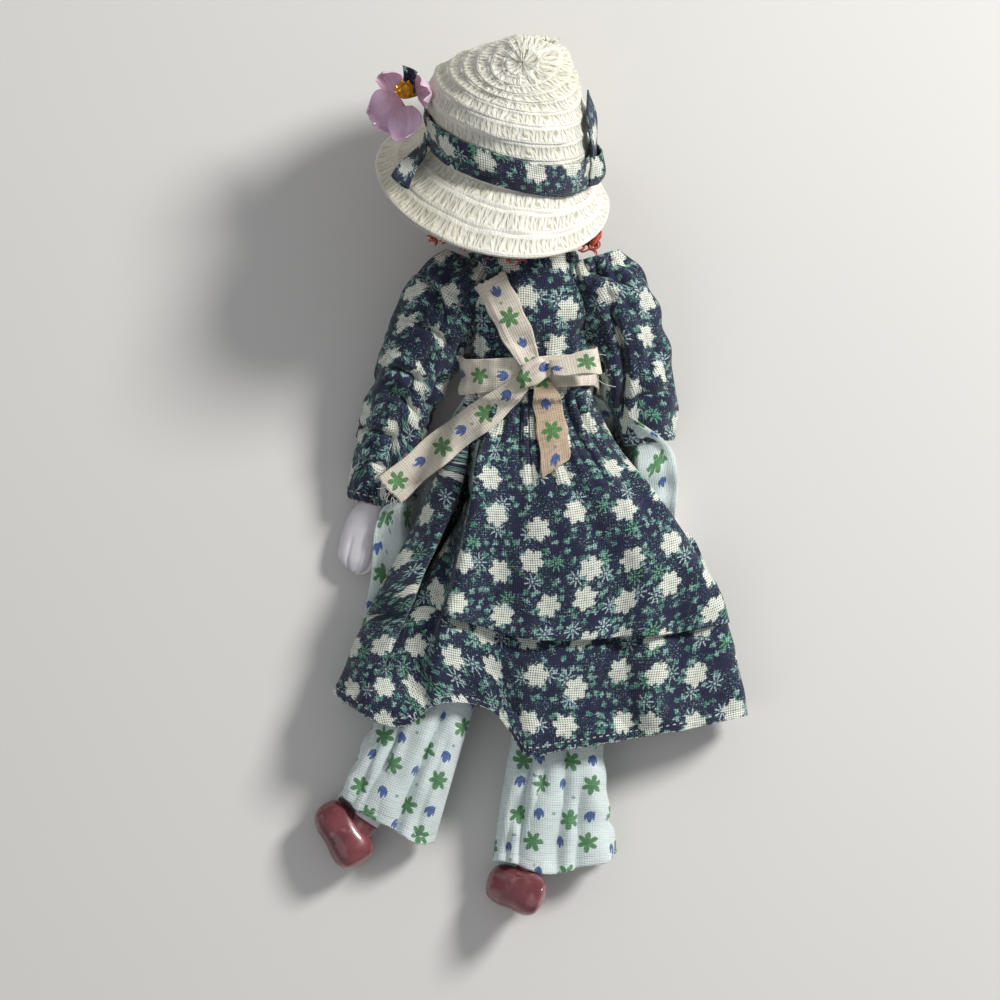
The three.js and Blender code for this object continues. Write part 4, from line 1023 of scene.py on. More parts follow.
hat_curve = rounded_curve([
    (0.3, CROWN_HEIGHT), (CROWN_RADIUS * 0.3, CROWN_HEIGHT - 1.1),
    (CROWN_RADIUS * 0.6, CROWN_HEIGHT - 5.8), (CROWN_RADIUS * 0.87, CROWN_HEIGHT - 11.2),
    (CROWN_RADIUS + 0.1, CROWN_HEIGHT - 15), (CROWN_RADIUS + 0.4, 7), (CROWN_RADIUS, 0.4),
    (CROWN_RADIUS + BRIM["width"] * 0.45, -BRIM["drop"] * 0.42),
    (CROWN_RADIUS + BRIM["width"], -BRIM["drop"]),
])
hat_steps = np.concatenate([[0], np.cumsum(np.linalg.norm(np.diff(hat_curve, axis=0), axis=1))])
HAT_LENGTH = hat_steps[-1]
hat_tangents = unit(np.gradient(hat_curve, hat_steps, axis=0))
BAND_LOW = (HAT_LENGTH - BRIM["width"] * 1.36) / HAT_LENGTH
BAND_HIGH = BAND_LOW - BAND_WIDTH / HAT_LENGTH


def hat_local(along, angle, offset):
    length = np.asarray(along, float) * HAT_LENGTH
    x, y = (np.interp(length, hat_steps, hat_curve[:, k]) for k in (0, 1))
    tx, ty = (np.interp(length, hat_steps, hat_tangents[:, k]) for k in (0, 1))
    radius, height = x - ty * offset, y + tx * offset
    share = np.clip(height / CROWN_HEIGHT, 0, 1)
    on_brim = smooth(-height, 0, BRIM["drop"])
    tilt = math.tan(math.radians(BRIM["tilt"])) * radius * on_brim
    right = radius * np.cos(angle) + BRIM["shift"] * on_brim - 3.3 * np.sin(math.pi * share) ** 2
    back = radius * np.sin(angle) + 3.1 * share**2.5
    up = height - tilt * np.sin(angle)
    return right[..., None] * HAT_RIGHT + back[..., None] * HAT_BACK + up[..., None] * HAT_UP


SPIRAL_MIDDLE = (-2.2, 7.6)
SPIRAL_REACH = 21
rim_angles = turns(26)
rim_low = min(hat_local(np.ones(26), rim_angles, off)[:, 2].min() for off in (0, -HAT_WALL))
HAT_PLACE = np.array([-6.2, 63.1, REST_GAP - rim_low])


def on_hat(along, angle, offset):
    place = (np.asarray(value, float) for value in (along, angle, offset))
    return hat_local(*np.broadcast_arrays(*place)) + HAT_PLACE


def plaited(along, angle):
    """Moves the spiral's middle from the crown's peak down its back, where the hat is creased."""
    reach = along * HAT_LENGTH
    slide = (1 - np.minimum(reach / SPIRAL_REACH, 1) ** 2) ** 2
    x = reach * np.cos(angle) + SPIRAL_MIDDLE[0] * slide
    y = reach * np.sin(angle) + SPIRAL_MIDDLE[1] * slide
    return np.hypot(x, y) / HAT_LENGTH, np.arctan2(y, x)


def hat_piece():
    rows = int(round(HAT_LENGTH / BRAID_ROW))
    columns = 300
    f = np.linspace(0, 1, 12)
    turn = turns(columns)
    points, faces, uvs = [], [], []
    quads, corners = grid_faces(len(f), columns, True)
    for k in range(rows):
        start, length = k / rows, 1 / rows
        along = np.clip(start + (f * 1.12 - 0.04) * length, 0.002, 1)[:, None]
        crown_of_row = (
            0.3 * bell(f, 0.12, 0.13) + 0.3 * bell(f, 0.86, 0.13) + 0.24 * f
            - 0.4 * smooth(f, 0.92, 1)
        )
        sag = 0.12 * ripple(40 + k, turn[None, :] * 18, f[:, None] * 2, 9.0)
        sag = sag * (1 - smooth(f, 0.9, 1))[:, None]
        lumps = 0.1 * ripple(70 + k, turn[None, :] * 40, f[:, None] * 3, 5.0)
        offset = crown_of_row[:, None] - 0.3 + sag + lumps * np.sin(f * math.pi)[:, None]
        offset = offset + 0.2 * smooth(k, rows - 1.5, rows - 0.5)
        strip = on_hat(*plaited(along, turn[None, :]), offset)
        radius = np.interp((start + length / 2) * HAT_LENGTH, hat_steps, hat_curve[:, 0])
        count = max(6, round(math.tau * radius / BRAID_PITCH))
        u = sideways(0, count * BRAID_PITCH, columns + 1) + k * 0.4 * BRAID_PITCH
        uv = pair(u, (f * BRAID_ROW)[:, None])
        base = len(points) * len(f) * columns
        points.append(strip.reshape(-1, 3))
        faces += (quads[:, ::-1] + base).tolist()
        uvs.append(at_corners(uv, corners[:, ::-1]))
    inner_rows = np.linspace(0.002, 1, INNER_ROWS)
    inner = on_hat(inner_rows[:, None], turn[None, :], -HAT_WALL)
    quads, corners = grid_faces(INNER_ROWS, columns, True)
    base = sum(len(p) for p in points)
    points.append(inner.reshape(-1, 3))
    faces += (quads + base).tolist()
    u = sideways(0, 1, columns + 1) * np.round(math.tau * 16 / BRAID_PITCH) * BRAID_PITCH
    v = np.mod(inner_rows * HAT_LENGTH, BRAID_ROW)[:, None]
    uvs.append(at_corners(pair(u, v), corners))
    last = sum(len(p) for p in points[:-2])
    outer_edge = last + (len(f) - 1) * columns
    inner_edge = base + (INNER_ROWS - 1) * columns
    rim_uv = []
    for i in range(columns):
        j = (i + 1) % columns
        faces.append([outer_edge + i, outer_edge + j, inner_edge + j, inner_edge + i])
        a, b = i * 0.5, (i + 1) * 0.5
        rim_uv.append([[a, 0.1], [b, 0.1], [b, 0.5], [a, 0.5]])
    uvs.append(np.array(rim_uv).reshape(-1, 2))
    uvs = np.concatenate(uvs)
    hat = link_faces(
        "straw_hat_braid", np.concatenate(points), faces, straw, "doll_body", [uvs, uvs],
    )
    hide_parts("straw_hat")
    tip = on_hat(0.03, math.radians(-20), -0.3)
    t = down(0, 1, 16)
    ends = []
    for shift, lean in ((0.0, 0.9), (-0.7, -0.3), (0.6, 1.2)):
        sway = HAT_RIGHT * (0.3 + shift + lean * t**2) + HAT_BACK * 0.5 * np.sin(t * 3 + shift)
        ends.append(tip + HAT_UP * (1.9 * t - 0.5 * t**2) + sway)
    nub = tubes("straw_tip", ends, [0.42 * (1 - 0.5 * t[:, 0])] * 3, straw, "doll_body", sides=8)


hat_piece()

# Place of the flower at the left of the band

FLOWER_ALONG = BAND_HIGH - 2 / HAT_LENGTH
FLOWER_TURN = math.radians(170)
hat_normal = unit(on_hat(FLOWER_ALONG, FLOWER_TURN, 1) - on_hat(FLOWER_ALONG, FLOWER_TURN, 0))
FLOWER_OUT = unit(hat_normal + HAT_BACK * 1.4)
FLOWER_SEAT = on_hat(FLOWER_ALONG, FLOWER_TURN, 4.2)
FLOWER_UP = unit(HAT_UP - FLOWER_OUT * HAT_UP.dot(FLOWER_OUT))
FLOWER_SIDE = unit(np.cross(FLOWER_UP, FLOWER_OUT))

# Hat band, its tail on the brim and the loop at its far end


def band_strip(name, along, turn, offset, closed=False):
    points = on_hat(along, turn, offset)
    return surface(name, points, navy, "doll_body", closed=closed, wall=TRIM_WALL, flip=True)


def band_pieces():
    f = down(0, 1, 16)
    turn = tube_turns(260)
    sag = 0.35 * np.sin(turn * 2 + 0.6) + 0.25 * np.sin(turn * 3)
    along = mix(BAND_HIGH, BAND_LOW, f) + sag / HAT_LENGTH
    fold = 0.14 * np.sin(f * math.pi * 3 + turn * 2) + 0.12 * ripple(5, turn * 16, f * 7, 5.0)
    offset = GAP + 0.4 + fold + 0.3 * np.sin(f * math.pi)
    band = band_strip("hat_band_cloth", along, turn, offset, closed=True)
    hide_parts("hat_band")
    t = down(0, 1, 30)
    w = sideways(-1, 1, 13)
    turn = math.radians(169) - math.radians(27) * t
    turn = turn + w * 2.4 / (CROWN_RADIUS + 3) * mix(0.85, 1.0, t)
    along = BAND_LOW - 0.03 + t * 10 / HAT_LENGTH + 0.2 * w * t / HAT_LENGTH
    offset = GAP * 2 + 1.05 + 0.25 * np.sin(t * 9) * t + 0.25 * w**2 * t + 0.35 * t**3
    tail = band_strip("hat_band_tail_cloth", along, turn, offset)
    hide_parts("hat_band_tail")
    w = sideways(0, 1, 25)
    f = down(0, 1, 13)
    turn = math.radians(-8) + w * math.radians(24)
    along = mix(BAND_HIGH + 0.004, BAND_LOW - 0.004, f)
    offset = GAP * 2 + 0.9 + 1.5 * np.sin(w * math.pi) ** 1.3 * (1 - 0.25 * np.cos(f * 6))
    knot = band_strip("hat_band_loop_cloth", along, turn, offset)
    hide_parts("hat_band_loop")
    t = down(0, 1, 34)
    w = sideways(-1, 1, 13)
    along = BAND_LOW - 0.03 - t * 15 / HAT_LENGTH + 0.05 * w * t
    turn = math.radians(2) + w * math.radians(11) + math.radians(3) * t
    offset = GAP * 2 + 0.75 + 0.5 * bell(t, 0.55, 0.2) + 0.12 * np.sin(t * 11) * t + 0.2 * w**2
    end = band_strip("hat_band_end_cloth", along, turn, offset)
    t = down(0, 1, 24)
    path = (
        FLOWER_SEAT + FLOWER_UP * (0.5 + 4.0 * t) - FLOWER_OUT * (2.2 + 1.2 * t)
        - HAT_RIGHT * (1.0 + 1.4 * t**2)
    )
    bit = path[:, None] + (w[..., None] * 1.9) * FLOWER_SIDE + (0.5 * w**2)[..., None] * FLOWER_OUT
    bit = surface("hat_band_bit_cloth", bit, navy, "doll_body", wall=TRIM_WALL)


band_pieces()

# Flower of four petals round a gilt cup


def petal_piece(number, turn, layer, scale):
    t = down(0, 1, 28)
    w = sideways(-1, 1, 23)
    ahead = FLOWER_UP * math.cos(turn) + FLOWER_SIDE * math.sin(turn)
    across = unit(np.cross(ahead, FLOWER_OUT))
    half = 3.9 * scale * (0.28 + 0.95 * np.sin(math.pi * np.minimum(t * 0.86 + 0.06, 1)))
    notch = 0.5 * bell(w, 0, 0.25) * t**6
    reach = 1.9 + 7.4 * scale * t - 0.9 * w * w * t - notch
    rise = layer + 1.6 * t * t + 0.7 * w * w * t - 0.25 * bell(w, 0, 0.18) * np.sin(t * math.pi)
    rise = (
        rise + 0.16 * np.sin(w * 7 + number) * t * t + 0.5 * w**4 * t
        + 0.9 * smooth(t, 0.8, 1) ** 2 * (1 + 0.5 * np.sin(w * 4 + number * 2))
    )
    points = (
        FLOWER_SEAT + reach[..., None] * ahead + (half * w)[..., None] * across
        + rise[..., None] * FLOWER_OUT
    )
    uv = pair(half * w, 7.4 * scale * t)
    piece = surface(f"petal_{number}", points, petal_satin, "doll_body", uv=uv, wall=RIBBON_WALL)
    smoother = piece.modifiers.new("round", "SUBSURF")
    smoother.levels = smoother.render_levels = 1
    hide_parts(f"flower_petal_{number}")


def cup_piece():
    teeth = 7
    nod = math.radians(45)
    turn = turns(teeth * 14)[None, :]
    tooth = np.abs(((turn / math.tau * teeth) % 1) - 0.5) * 2
    rows = [
        (0.7, -3.2, 0, 0), (0.7, -0.3, 0, 0), (0.74, 0.3, 0, 0.4), (0.95, 0.7, 0, 0.85),
        (1.36, 0.95, 0, 1), (1.55, 1.2, 0, 1), (1.66, 1.7, 0, 1), (1.7, 2.2, 1, 1),
        (1.52, 2.22, 1, 1), (1.4, 1.9, 0, 1), (1.1, 1.5, 0, 1), (0.5, 1.42, 0, 1),
        (0.15, 1.42, 0, 1),
    ]
    rings = []
    for radius, height, lip, bend in rows:
        angle = nod * bend
        out = FLOWER_OUT * math.cos(angle) + FLOWER_UP * math.sin(angle)
        up = FLOWER_UP * math.cos(angle) - FLOWER_OUT * math.sin(angle)
        rise = height + lip * (1.3 * tooth**0.9 - 0.25)
        reach = radius + 0.12 * lip * tooth
        rings.append(
            FLOWER_SEAT + (np.cos(turn) * reach)[..., None] * up
            + (np.sin(turn) * reach)[..., None] * FLOWER_SIDE + rise[..., None] * out
        )
    piece = surface(
        "flower_cup_gilt", np.concatenate(rings), gold, "doll_body", closed=True, capped=True,
        flip=True,
    )
    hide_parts("flower_cup")


PETALS = [(300, 0.9, 0.58), (55, -0.6, 0.72), (152, 1.1, 0.9), (212, 0, 1)]
for number, (degrees, layer, scale) in enumerate(PETALS, 1):
    petal_piece(number, math.radians(degrees), layer, scale)
cup_piece()

# Bodice


def bodice_size(y, which, extra):
    least = 8.8 if which == 0 else NECK_RADIUS + 0.6
    shape = np.maximum(plate_size(np.maximum(y, PLATE_BOTTOM), which), least)
    low = body_size(y, which) + 0.4
    return mix(low, shape, smooth(y, PLATE_BOTTOM - 6, PLATE_BOTTOM)) + GAP + extra


BODICE_CREASES = [
    (-15, 30, 6, 28, 0.9, 2), (-14.8, 33, -7, 28.5, 0.8, 1.6), (0, 32, 8, 33, 0.7, 1.2),
    (-12, 38, -9, 31, 1.0, 1.2), (5.5, 41, 7.8, 31, 0.8, 1.6), (-9, 42, -2, 40, 0.9, 0.81),
    (-6, 27, 1, 33, 0.9, 0.81), (-14, 27, -10, 24, 0.7, 1.4), (1.5, 30, 3.5, 24, 0.6, 1.2),
    (5.5, 30, 6.5, 24, 0.6, 1.2), (-9, 28, -8, 23.5, 0.6, 1.1),
]


def bodice_piece():
    y = down(45.3, 20, 90)
    turn = tube_turns(220)
    wide = bodice_size(y, 0, CLOTH)
    deep = bodice_size(y, 1, CLOTH)
    points = ring(neck_x(y), y, neck_z(y), wide, deep, turn)
    out = -normals(points, True)
    gathers = 0.42 * np.sin(turn * 15 + 0.8 * np.sin(turn * 4)) * (1 - smooth(y, 21, 35))
    necking = 0.3 * np.sin(turn * 13 + np.sin(turn * 3)) * smooth(y, 39, 45)
    puff = 0.5 * bell(y, 27, 5)
    drape = 0.35 * ripple(8, turn * 10, y, 9.0)
    points = points + out * (gathers + necking + puff + drape)[..., None]
    points = strokes(points, out, BODICE_CREASES)
    piece = surface(
        "bodice_cloth", points, navy, "doll_body", closed=True, wall=DRESS_WALL, flip=True,
    )
    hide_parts("bodice")


bodice_piece()

# Arms

ARMS = {
    "left": {
        "side": -1, "x": TORSO_X - 15.9, "outward": 23, "bend": -8, "sleeve": 46, "cuff": 3.0,
        "reach": 60.5,
    },
    "right": {
        "side": 1, "x": TORSO_X + 15.9, "outward": 16, "bend": -9, "sleeve": 32, "cuff": 4.5,
        "reach": 60,
    },
}
ELBOW = 25
ARM_START = 27 + GAP
SLEEVE_START = -6.5
GROOVE = 2.4
GROOVE_WIDTH = 1.5
WRAPS = 5
THREAD_RADIUS = 0.16


def arm_z(along):
    return through([[0, float(spine_z(SHOULDER_Y))], [46, 3.5], [62, 2.2 + GAP]], along)


def arm_place(arm, along, across, up):
    turn = np.radians(arm["outward"] + arm["bend"] * smooth(along, ELBOW - 7, ELBOW + 7))
    before = math.radians(arm["outward"])
    elbow = np.minimum(along, ELBOW)
    rest = along - elbow
    return xyz(
        arm["x"] + arm["side"] * (
            math.sin(before) * elbow + np.sin(turn) * rest + np.cos(turn) * across
        ),
        SHOULDER_Y - math.cos(before) * elbow - np.cos(turn) * rest + np.sin(turn) * across,
        arm_z(along) + up,
    )


def upper_arm_piece(name, arm):
    s = down(-3.0, 27, 50)
    turn = tube_turns(48)
    closed = np.where(s < 0, np.sqrt(np.maximum(0.08, 1 - (s / 3.2) ** 2)), 1)
    radius = closed * through([[0, 3.2], [10, 3.8], [24, 3.19], [27, 2.46]], s)
    radius = radius * (1 - 0.03 * (1 + np.sin(turn * 9 + s * 0.7)) * smooth(s, 16, 26))
    points = arm_place(arm, s, radius * np.cos(turn), radius * np.sin(turn))
    piece = surface(
        f"upper_arm_cloth_{name}", points, muslin, f"arm_{name}", closed=True, capped=True,
        flip=arm["side"] < 0,
    )
    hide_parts(f"upper_arm_{name}")


def forearm_piece(name, arm):
    wrist = arm["reach"] - 15.5
    tip = arm["reach"]
    hidden = [down(ARM_START, ARM_START + 6, 22), down(ARM_START + 7, wrist, 24)]
    s = np.vstack([*hidden, down(wrist + 0.3, tip, 90)])
    turn = tube_turns(120)
    bound = [
        [ARM_START, 2.6], [ARM_START + 1.2, 2.9], [ARM_START + GROOVE, 2.3], [ARM_START + 5, 2.9],
        [wrist - 3, 2.3],
    ]
    wide = through(
        [
            *bound, [wrist, 2.76], [wrist + 5, 4.4], [tip - 5, 4.6], [tip - 1.6, 4.1],
            [tip - 0.4, 2.6], [tip, 1.4],
        ],
        s,
    )
    deep = through([*bound, [wrist + 5, 2.1], [tip - 3, 1.9], [tip - 0.6, 1.2], [tip, 0.5]], s)
    share = np.cos(turn)
    fingers = smooth(s, tip - 8.5, tip - 5)
    gaps = sum(bell(share, at, 0.075) for at in (-0.5, 0.0, 0.5))
    deep = deep * (1 - 0.17 * gaps * fingers * np.sqrt(np.clip(np.abs(np.sin(turn)), 0, 1)))
    length = through([[-1, 0.8], [-0.72, 0.95], [-0.5, 0.88], [-0.25, 1.0], [0, 0.94], [0.25, 1.0],
                      [0.5, 0.86], [0.72, 0.9], [1, 0.74]], share)
    along = s - (1 - length) * 4.2 * smooth(s, tip - 7, tip)
    thumb = bell(s, tip - 9.3, 1.9) * smooth(-share, 0.35, 0.95)
    across = wide * power(share, 0.92) - 1.3 * thumb
    up = deep * power(np.sin(turn), 0.92)
    points = arm_place(arm, along, across, up)
    piece = surface(
        f"bisque_hand_{name}", points, bisque, f"arm_{name}", closed=True, capped=True,
        flip=arm["side"] < 0,
    )
    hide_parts(f"forearm_{name}")


def winding(place, limb, start, radius):
    """Thread wound round the groove of a limb, given by where its porcelain starts."""
    t = np.linspace(0, 1, 40 * WRAPS)
    turn = t * math.tau * WRAPS
    along = start + GROOVE - GROOVE_WIDTH / 2 + t * GROOVE_WIDTH
    return place(limb, along, radius * np.cos(turn), radius * np.sin(turn))


def arm_lashing_piece(name, arm):
    path = winding(arm_place, arm, ARM_START, 2.55)
    piece = tubes(f"arm_thread_{name}", [path], THREAD_RADIUS, white_thread, f"arm_{name}", sides=6)
    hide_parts(f"arm_lashing_{name}")


CREASES = {
    "left": [
        (115, -4, 14, 9, 0.9), (70, -5, 10, 8, 0.8), (96, 4, 26, 7, 0.55), (60, 18, 44, 9, 0.6),
        (130, 14, 40, 8, 0.7), (92, 30, 45, 9, 0.45), (150, -3, 22, 12, 0.8),
    ],
    "right": [
        (62, -5, 9, 8, 0.8), (140, -4, 16, 10, 0.8), (84, -5, 7, 7, 0.7), (36, 2, 24, 12, 0.5),
    ],
}
SLEEVE_CREASES = {
    "left": [
        (-37.5, 10.5, -29, 8.2, 0.8, 1.2), (-38.5, 4.5, -31, 2.5, 0.7, 0.78),
        (-32, 23, -23, 19, 0.9, 1.2), (-27, 32, -17.5, 26.5, 0.9, 1.2),
        (-23.8, 41.5, -18.5, 32, 0.9, 1.2), (-30, 18, -24, 12, 0.8, 0.78),
    ],
    "right": [
        (13, 36, 16.2, 12, 0.8, 1.7), (9.5, 28, 13, 19, 0.8, 1.2), (9, 41.5, 18.5, 37.5, 0.9, 1),
        (19, 33, 21.5, 20, 0.9, 0.65),
    ],
}


def sleeve_piece(name, arm):
    end = arm["sleeve"]
    s = down(SLEEVE_START, end, 130)
    turn = tube_turns(150)
    wide = through(
        [
            [SLEEVE_START, 5.4], [-4.5, 6.5], [-1, 7.2], [12, 7.6], [24, 6.4], [end - 3, 5.7],
            [end, 5.2],
        ],
        s,
    )
    deep = through(
        [[SLEEVE_START, 3.8], [-4.5, 5.2], [-1, 6.3], [12, 5.8], [24, 5], [end, arm["cuff"]]], s,
    )
    degrees = degrees_round(turn)
    relief = 0.3 * np.cos(turn * 5 + s / 26) * smooth(s, -2, 10)
    relief = relief + 0.42 * np.sin(turn * 17 + 1.3 * np.sin(turn * 3)) * (1 - smooth(s, -5, 4))
    relief = relief + 0.32 * ripple({"left": 21, "right": 22}[name], turn * 7, s, 8.0)
    for at, first, last, width, depth in CREASES[name]:
        bend = at + 7 * np.sin((s - first) * 0.22)
        off = degrees_from(degrees, bend)
        reach = smooth(s, first - 2, first + 3) * (1 - smooth(s, last - 5, last + 2))
        edge = 0.45 * bell(off, width * 1.9, width)
        relief = relief + depth * (edge - bell(off, 0, width)) * reach
    if name == "right":
        at_side = smooth(degrees, 20, 50) * (1 - smooth(degrees, 110, 140))
        relief = relief - 0.75 * bell(s, 22.5, 0.7) * at_side + 0.55 * bell(s, 20.7, 1.3) * at_side
    else:
        at_side = smooth(degrees, 95, 160)
        for at, lift in ((16, 0.45), (21.5, 0.5), (27, 0.4), (36, 0.3)):
            wave = at + 1.6 * np.sin(turn * 2 + at)
            relief = relief - lift * bell(s, wave, 0.9) * at_side
            relief = relief + lift * 0.8 * bell(s, wave - 1.6, 1.3) * at_side
    relief = relief - 0.3 * smooth(s, end - 0.9, end)
    inward = 2.2 * (1 - smooth(s, SLEEVE_START, 3))
    points = arm_place(
        arm, s, (wide + relief) * np.cos(turn) - inward, (deep + relief) * np.sin(turn),
    )
    out = normals(points, True) * arm["side"]
    points = strokes(points, out, SLEEVE_CREASES[name])
    points[..., 2] = np.maximum(points[..., 2], CLOTH_LOW)
    piece = surface(
        f"sleeve_cloth_{name}", points, navy_hemmed, None, closed=True, wall=DRESS_WALL,
        rim=end - s, flip=arm["side"] > 0,
    )
    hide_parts(f"sleeve_{name}")
    tuple(arm_place(arm, np.array(-6.5), 0, 0) * MM)
    tuple(arm_place(arm, np.array(2.5), 0, 0) * MM)
    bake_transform(piece)


for name, arm in ARMS.items():
    upper_arm_piece(name, arm)
    forearm_piece(name, arm)
    arm_lashing_piece(name, arm)
    sleeve_piece(name, arm)

# Sash


def sash_piece():
    f = down(0, 1, 30)
    turn = tube_turns(220)
    across = np.cos(turn)
    on_back = smooth(np.sin(turn), -0.1, 0.5)
    high = mix(SASH_HIGH, SASH_HIGH - 1.4 * (1 - across) / 2, on_back)
    low = mix(SASH_LOW, SASH_LOW + 2.0 * (1 + across) / 2, on_back)
    y = mix(high, low, f)
    points = ring(TORSO_X, y, spine_z(y), SASH_WIDE, SASH_DEEP, turn)
    out = -normals(points, True)
    fold = 0.28 * np.sin(f * 9 + across * 3) + 0.18 * ripple(31, turn * 12, f * 8, 5.0)
    points = points + out * (fold - 0.1)[..., None]
    piece = surface(
        "sash_cloth", points, ribbon, "doll_body", closed=True, wall=TRIM_WALL, flip=True,
        uv=pair(f * 7.6 - 3.8, arc_uv(points, True, turn.size // 2)[..., 0] + 100),
    )
    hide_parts("apron_sash")
    return piece


sash = sash_piece()

# Legs

LEGS = {
    "left": {
        "side": -1, "x": TORSO_X - 6.8, "angle": 20.5, "cloth": 62.5, "hem": 10.3, "turn": 34,
        "shin": 22.6, "foot": 31, "dip": 4,
    },
    "right": {
        "side": 1, "x": TORSO_X + 6.8, "angle": 2.2, "cloth": 66.5, "hem": 11.6, "turn": 13,
        "shin": 26, "foot": 70, "dip": 34,
    },
}
KNEE = 47
LEG_Z = 8.4
KNEE_Z = 7.6
SHIN_Z = 5.0
LEG_START = 0.5
LEG_DEEP = 5.6
SHIN_START = 1.2
LEG_SQUARE = 0.85


def leg_z(along):
    return through([[0, LEG_Z], [KNEE, KNEE_Z], [62.5, SHIN_Z]], np.maximum(along, 0))


def limb_place(start, degrees, along, across, z):
    turn = math.radians(degrees)
    return xyz(
        start[0] - math.sin(turn) * along + math.cos(turn) * across,
        start[1] - math.cos(turn) * along - math.sin(turn) * across,
        z,
    )


def down_limb(start, degrees, x, y):
    """How far down a limb and across it a place lies."""
    turn = math.radians(degrees)
    dx, dy = x - start[0], y - start[1]
    return (
        -math.sin(turn) * dx - math.cos(turn) * dy, math.cos(turn) * dx - math.sin(turn) * dy
    )


def leg_place(leg, along, across, up):
    return limb_place((leg["x"], HIP_Y), leg["angle"], along, across, leg_z(along) + up)


def shin_slope(leg):
    return (KNEE_Z - SHIN_Z) / leg["shin"]


def shin_place(leg, along, across, up):
    knee = leg_place(leg, KNEE, 0, 0)
    return limb_place(knee, leg["turn"], along, across, KNEE_Z - shin_slope(leg) * along + up)


def leg_size(leg, along):
    """Half the width and half the depth of a pantaloon leg."""
    end, hem = leg["cloth"], leg["hem"]
    wide = [[LEG_START, 6], [14, 7.3], [40, 8.6], [52, (8.6 + hem) / 2], [end, hem]]
    return through(wide, along), through([[LEG_START, LEG_DEEP], [KNEE, 4.2], [end, 4.2]], along)


def thigh_piece(name, leg):
    s = down(-4.8, 44, 56)
    turn = tube_turns(52)
    closed = np.where(s < 0, np.sqrt(np.maximum(0.08, 1 - (s / 5) ** 2)), 1)
    wide = closed * through([[0, 5], [14, 4.8], [40, 3.2], [44, 2.24]], s)
    deep = closed * through([[0, 5], [14, 3.7], [40, 3.2], [44, 2.24]], s)
    pucker = 1 - 0.04 * (1 + np.sin(turn * 8 + s * 0.5)) * smooth(s, 32, 43)
    points = leg_place(leg, s, wide * pucker * np.cos(turn), deep * pucker * np.sin(turn))
    piece = surface(
        f"thigh_cloth_{name}", points, muslin, f"upper_leg_{name}", closed=True, capped=True,
        flip=True,
    )
    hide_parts(f"thigh_{name}")


def shin_piece(name, leg):
    end = leg["shin"]
    s = np.vstack([down(SHIN_START, 7.2, 24), down(7.6, end + 0.4, 40)])
    turn = tube_turns(64)
    radius = through(
        [[SHIN_START, 2.7], [2.4, 3], [3.6, 2.5], [7.2, 3.4], [18, 2.7], [end, 3.0]], s,
    )
    points = shin_place(leg, s, radius * np.cos(turn), radius * np.sin(turn))
    piece = surface(
        f"shin_bisque_{name}", points, bisque, f"shin_{name}", closed=True, capped=True, flip=True,
    )


def boot_piece(name, leg):
    """A low boot with a rounded toe, a small heel, a sole seam and a shaft round the ankle."""
    end = leg["shin"]
    s = down(end - 6, end + 0.8, 30)
    turn = tube_turns(72)
    radius = through(
        [[end - 6, 2.5], [end - 5.6, 2.9], [end - 3, 2.8], [end, 3.0], [end + 1, 2.8]], s,
    )
    points = shin_place(leg, s, radius * np.cos(turn), radius * np.sin(turn))
    shaft = surface(
        f"boot_shaft_{name}", points, boot_maroon, f"shin_{name}", closed=True, capped=True,
        flip=True,
    )
    ankle = shin_place(leg, end, 0, 0)
    angle, dip = math.radians(leg["foot"]), math.radians(leg["dip"])
    side = np.array([math.cos(angle), math.sin(angle), 0.0])
    level = np.array([-math.sin(angle), math.cos(angle), 0.0])
    toe = level * math.cos(dip) - np.array([0.0, 0.0, math.sin(dip)])
    heel, length, half_width, half_height = 4.8, 14.5, 4.4, 4.2
    middle = half_height + REST_GAP + (length - heel - 3) * math.sin(dip)
    t = (1 - np.cos(down(0, math.pi, 72))) / 2
    along = -heel + t * length
    wide = half_width * through(
        [
            [0, 0.12], [0.03, 0.5], [0.09, 0.8], [0.25, 1], [0.5, 0.94], [0.75, 0.93], [0.92, 0.72],
            [0.98, 0.4], [1, 0.08],
        ],
        t,
    )
    high = half_height * (0.55 + 0.45 * np.sin(math.pi * np.minimum(1, 0.2 + t * 0.75)))
    high = high * through([[0, 0.15], [0.04, 0.65], [0.1, 1], [0.92, 1], [0.98, 0.6], [1, 0.1]], t)
    turn = tube_turns(88)
    up = power(np.sin(turn), LEG_SQUARE)
    seam = 0.16 * bell(up, -0.55, 0.1)
    place = (
        ankle + along[..., None] * toe
        + ((wide - seam) * power(np.cos(turn), LEG_SQUARE))[..., None] * side
    )
    lift = middle + place[..., 2] - ankle[2] + up * (high - seam)
    place[..., 2] = np.maximum(REST_GAP, lift)
    foot = surface(f"boot_{name}", place, boot_maroon, f"shin_{name}", closed=True, capped=True)
    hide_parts(f"lower_leg_{name}")


def leg_lashing_piece(name, leg):
    path = winding(shin_place, leg, SHIN_START, 2.75)
    piece = tubes(
        f"leg_thread_{name}", [path], THREAD_RADIUS, white_thread, f"shin_{name}", sides=6,
    )
    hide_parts(f"leg_lashing_{name}")


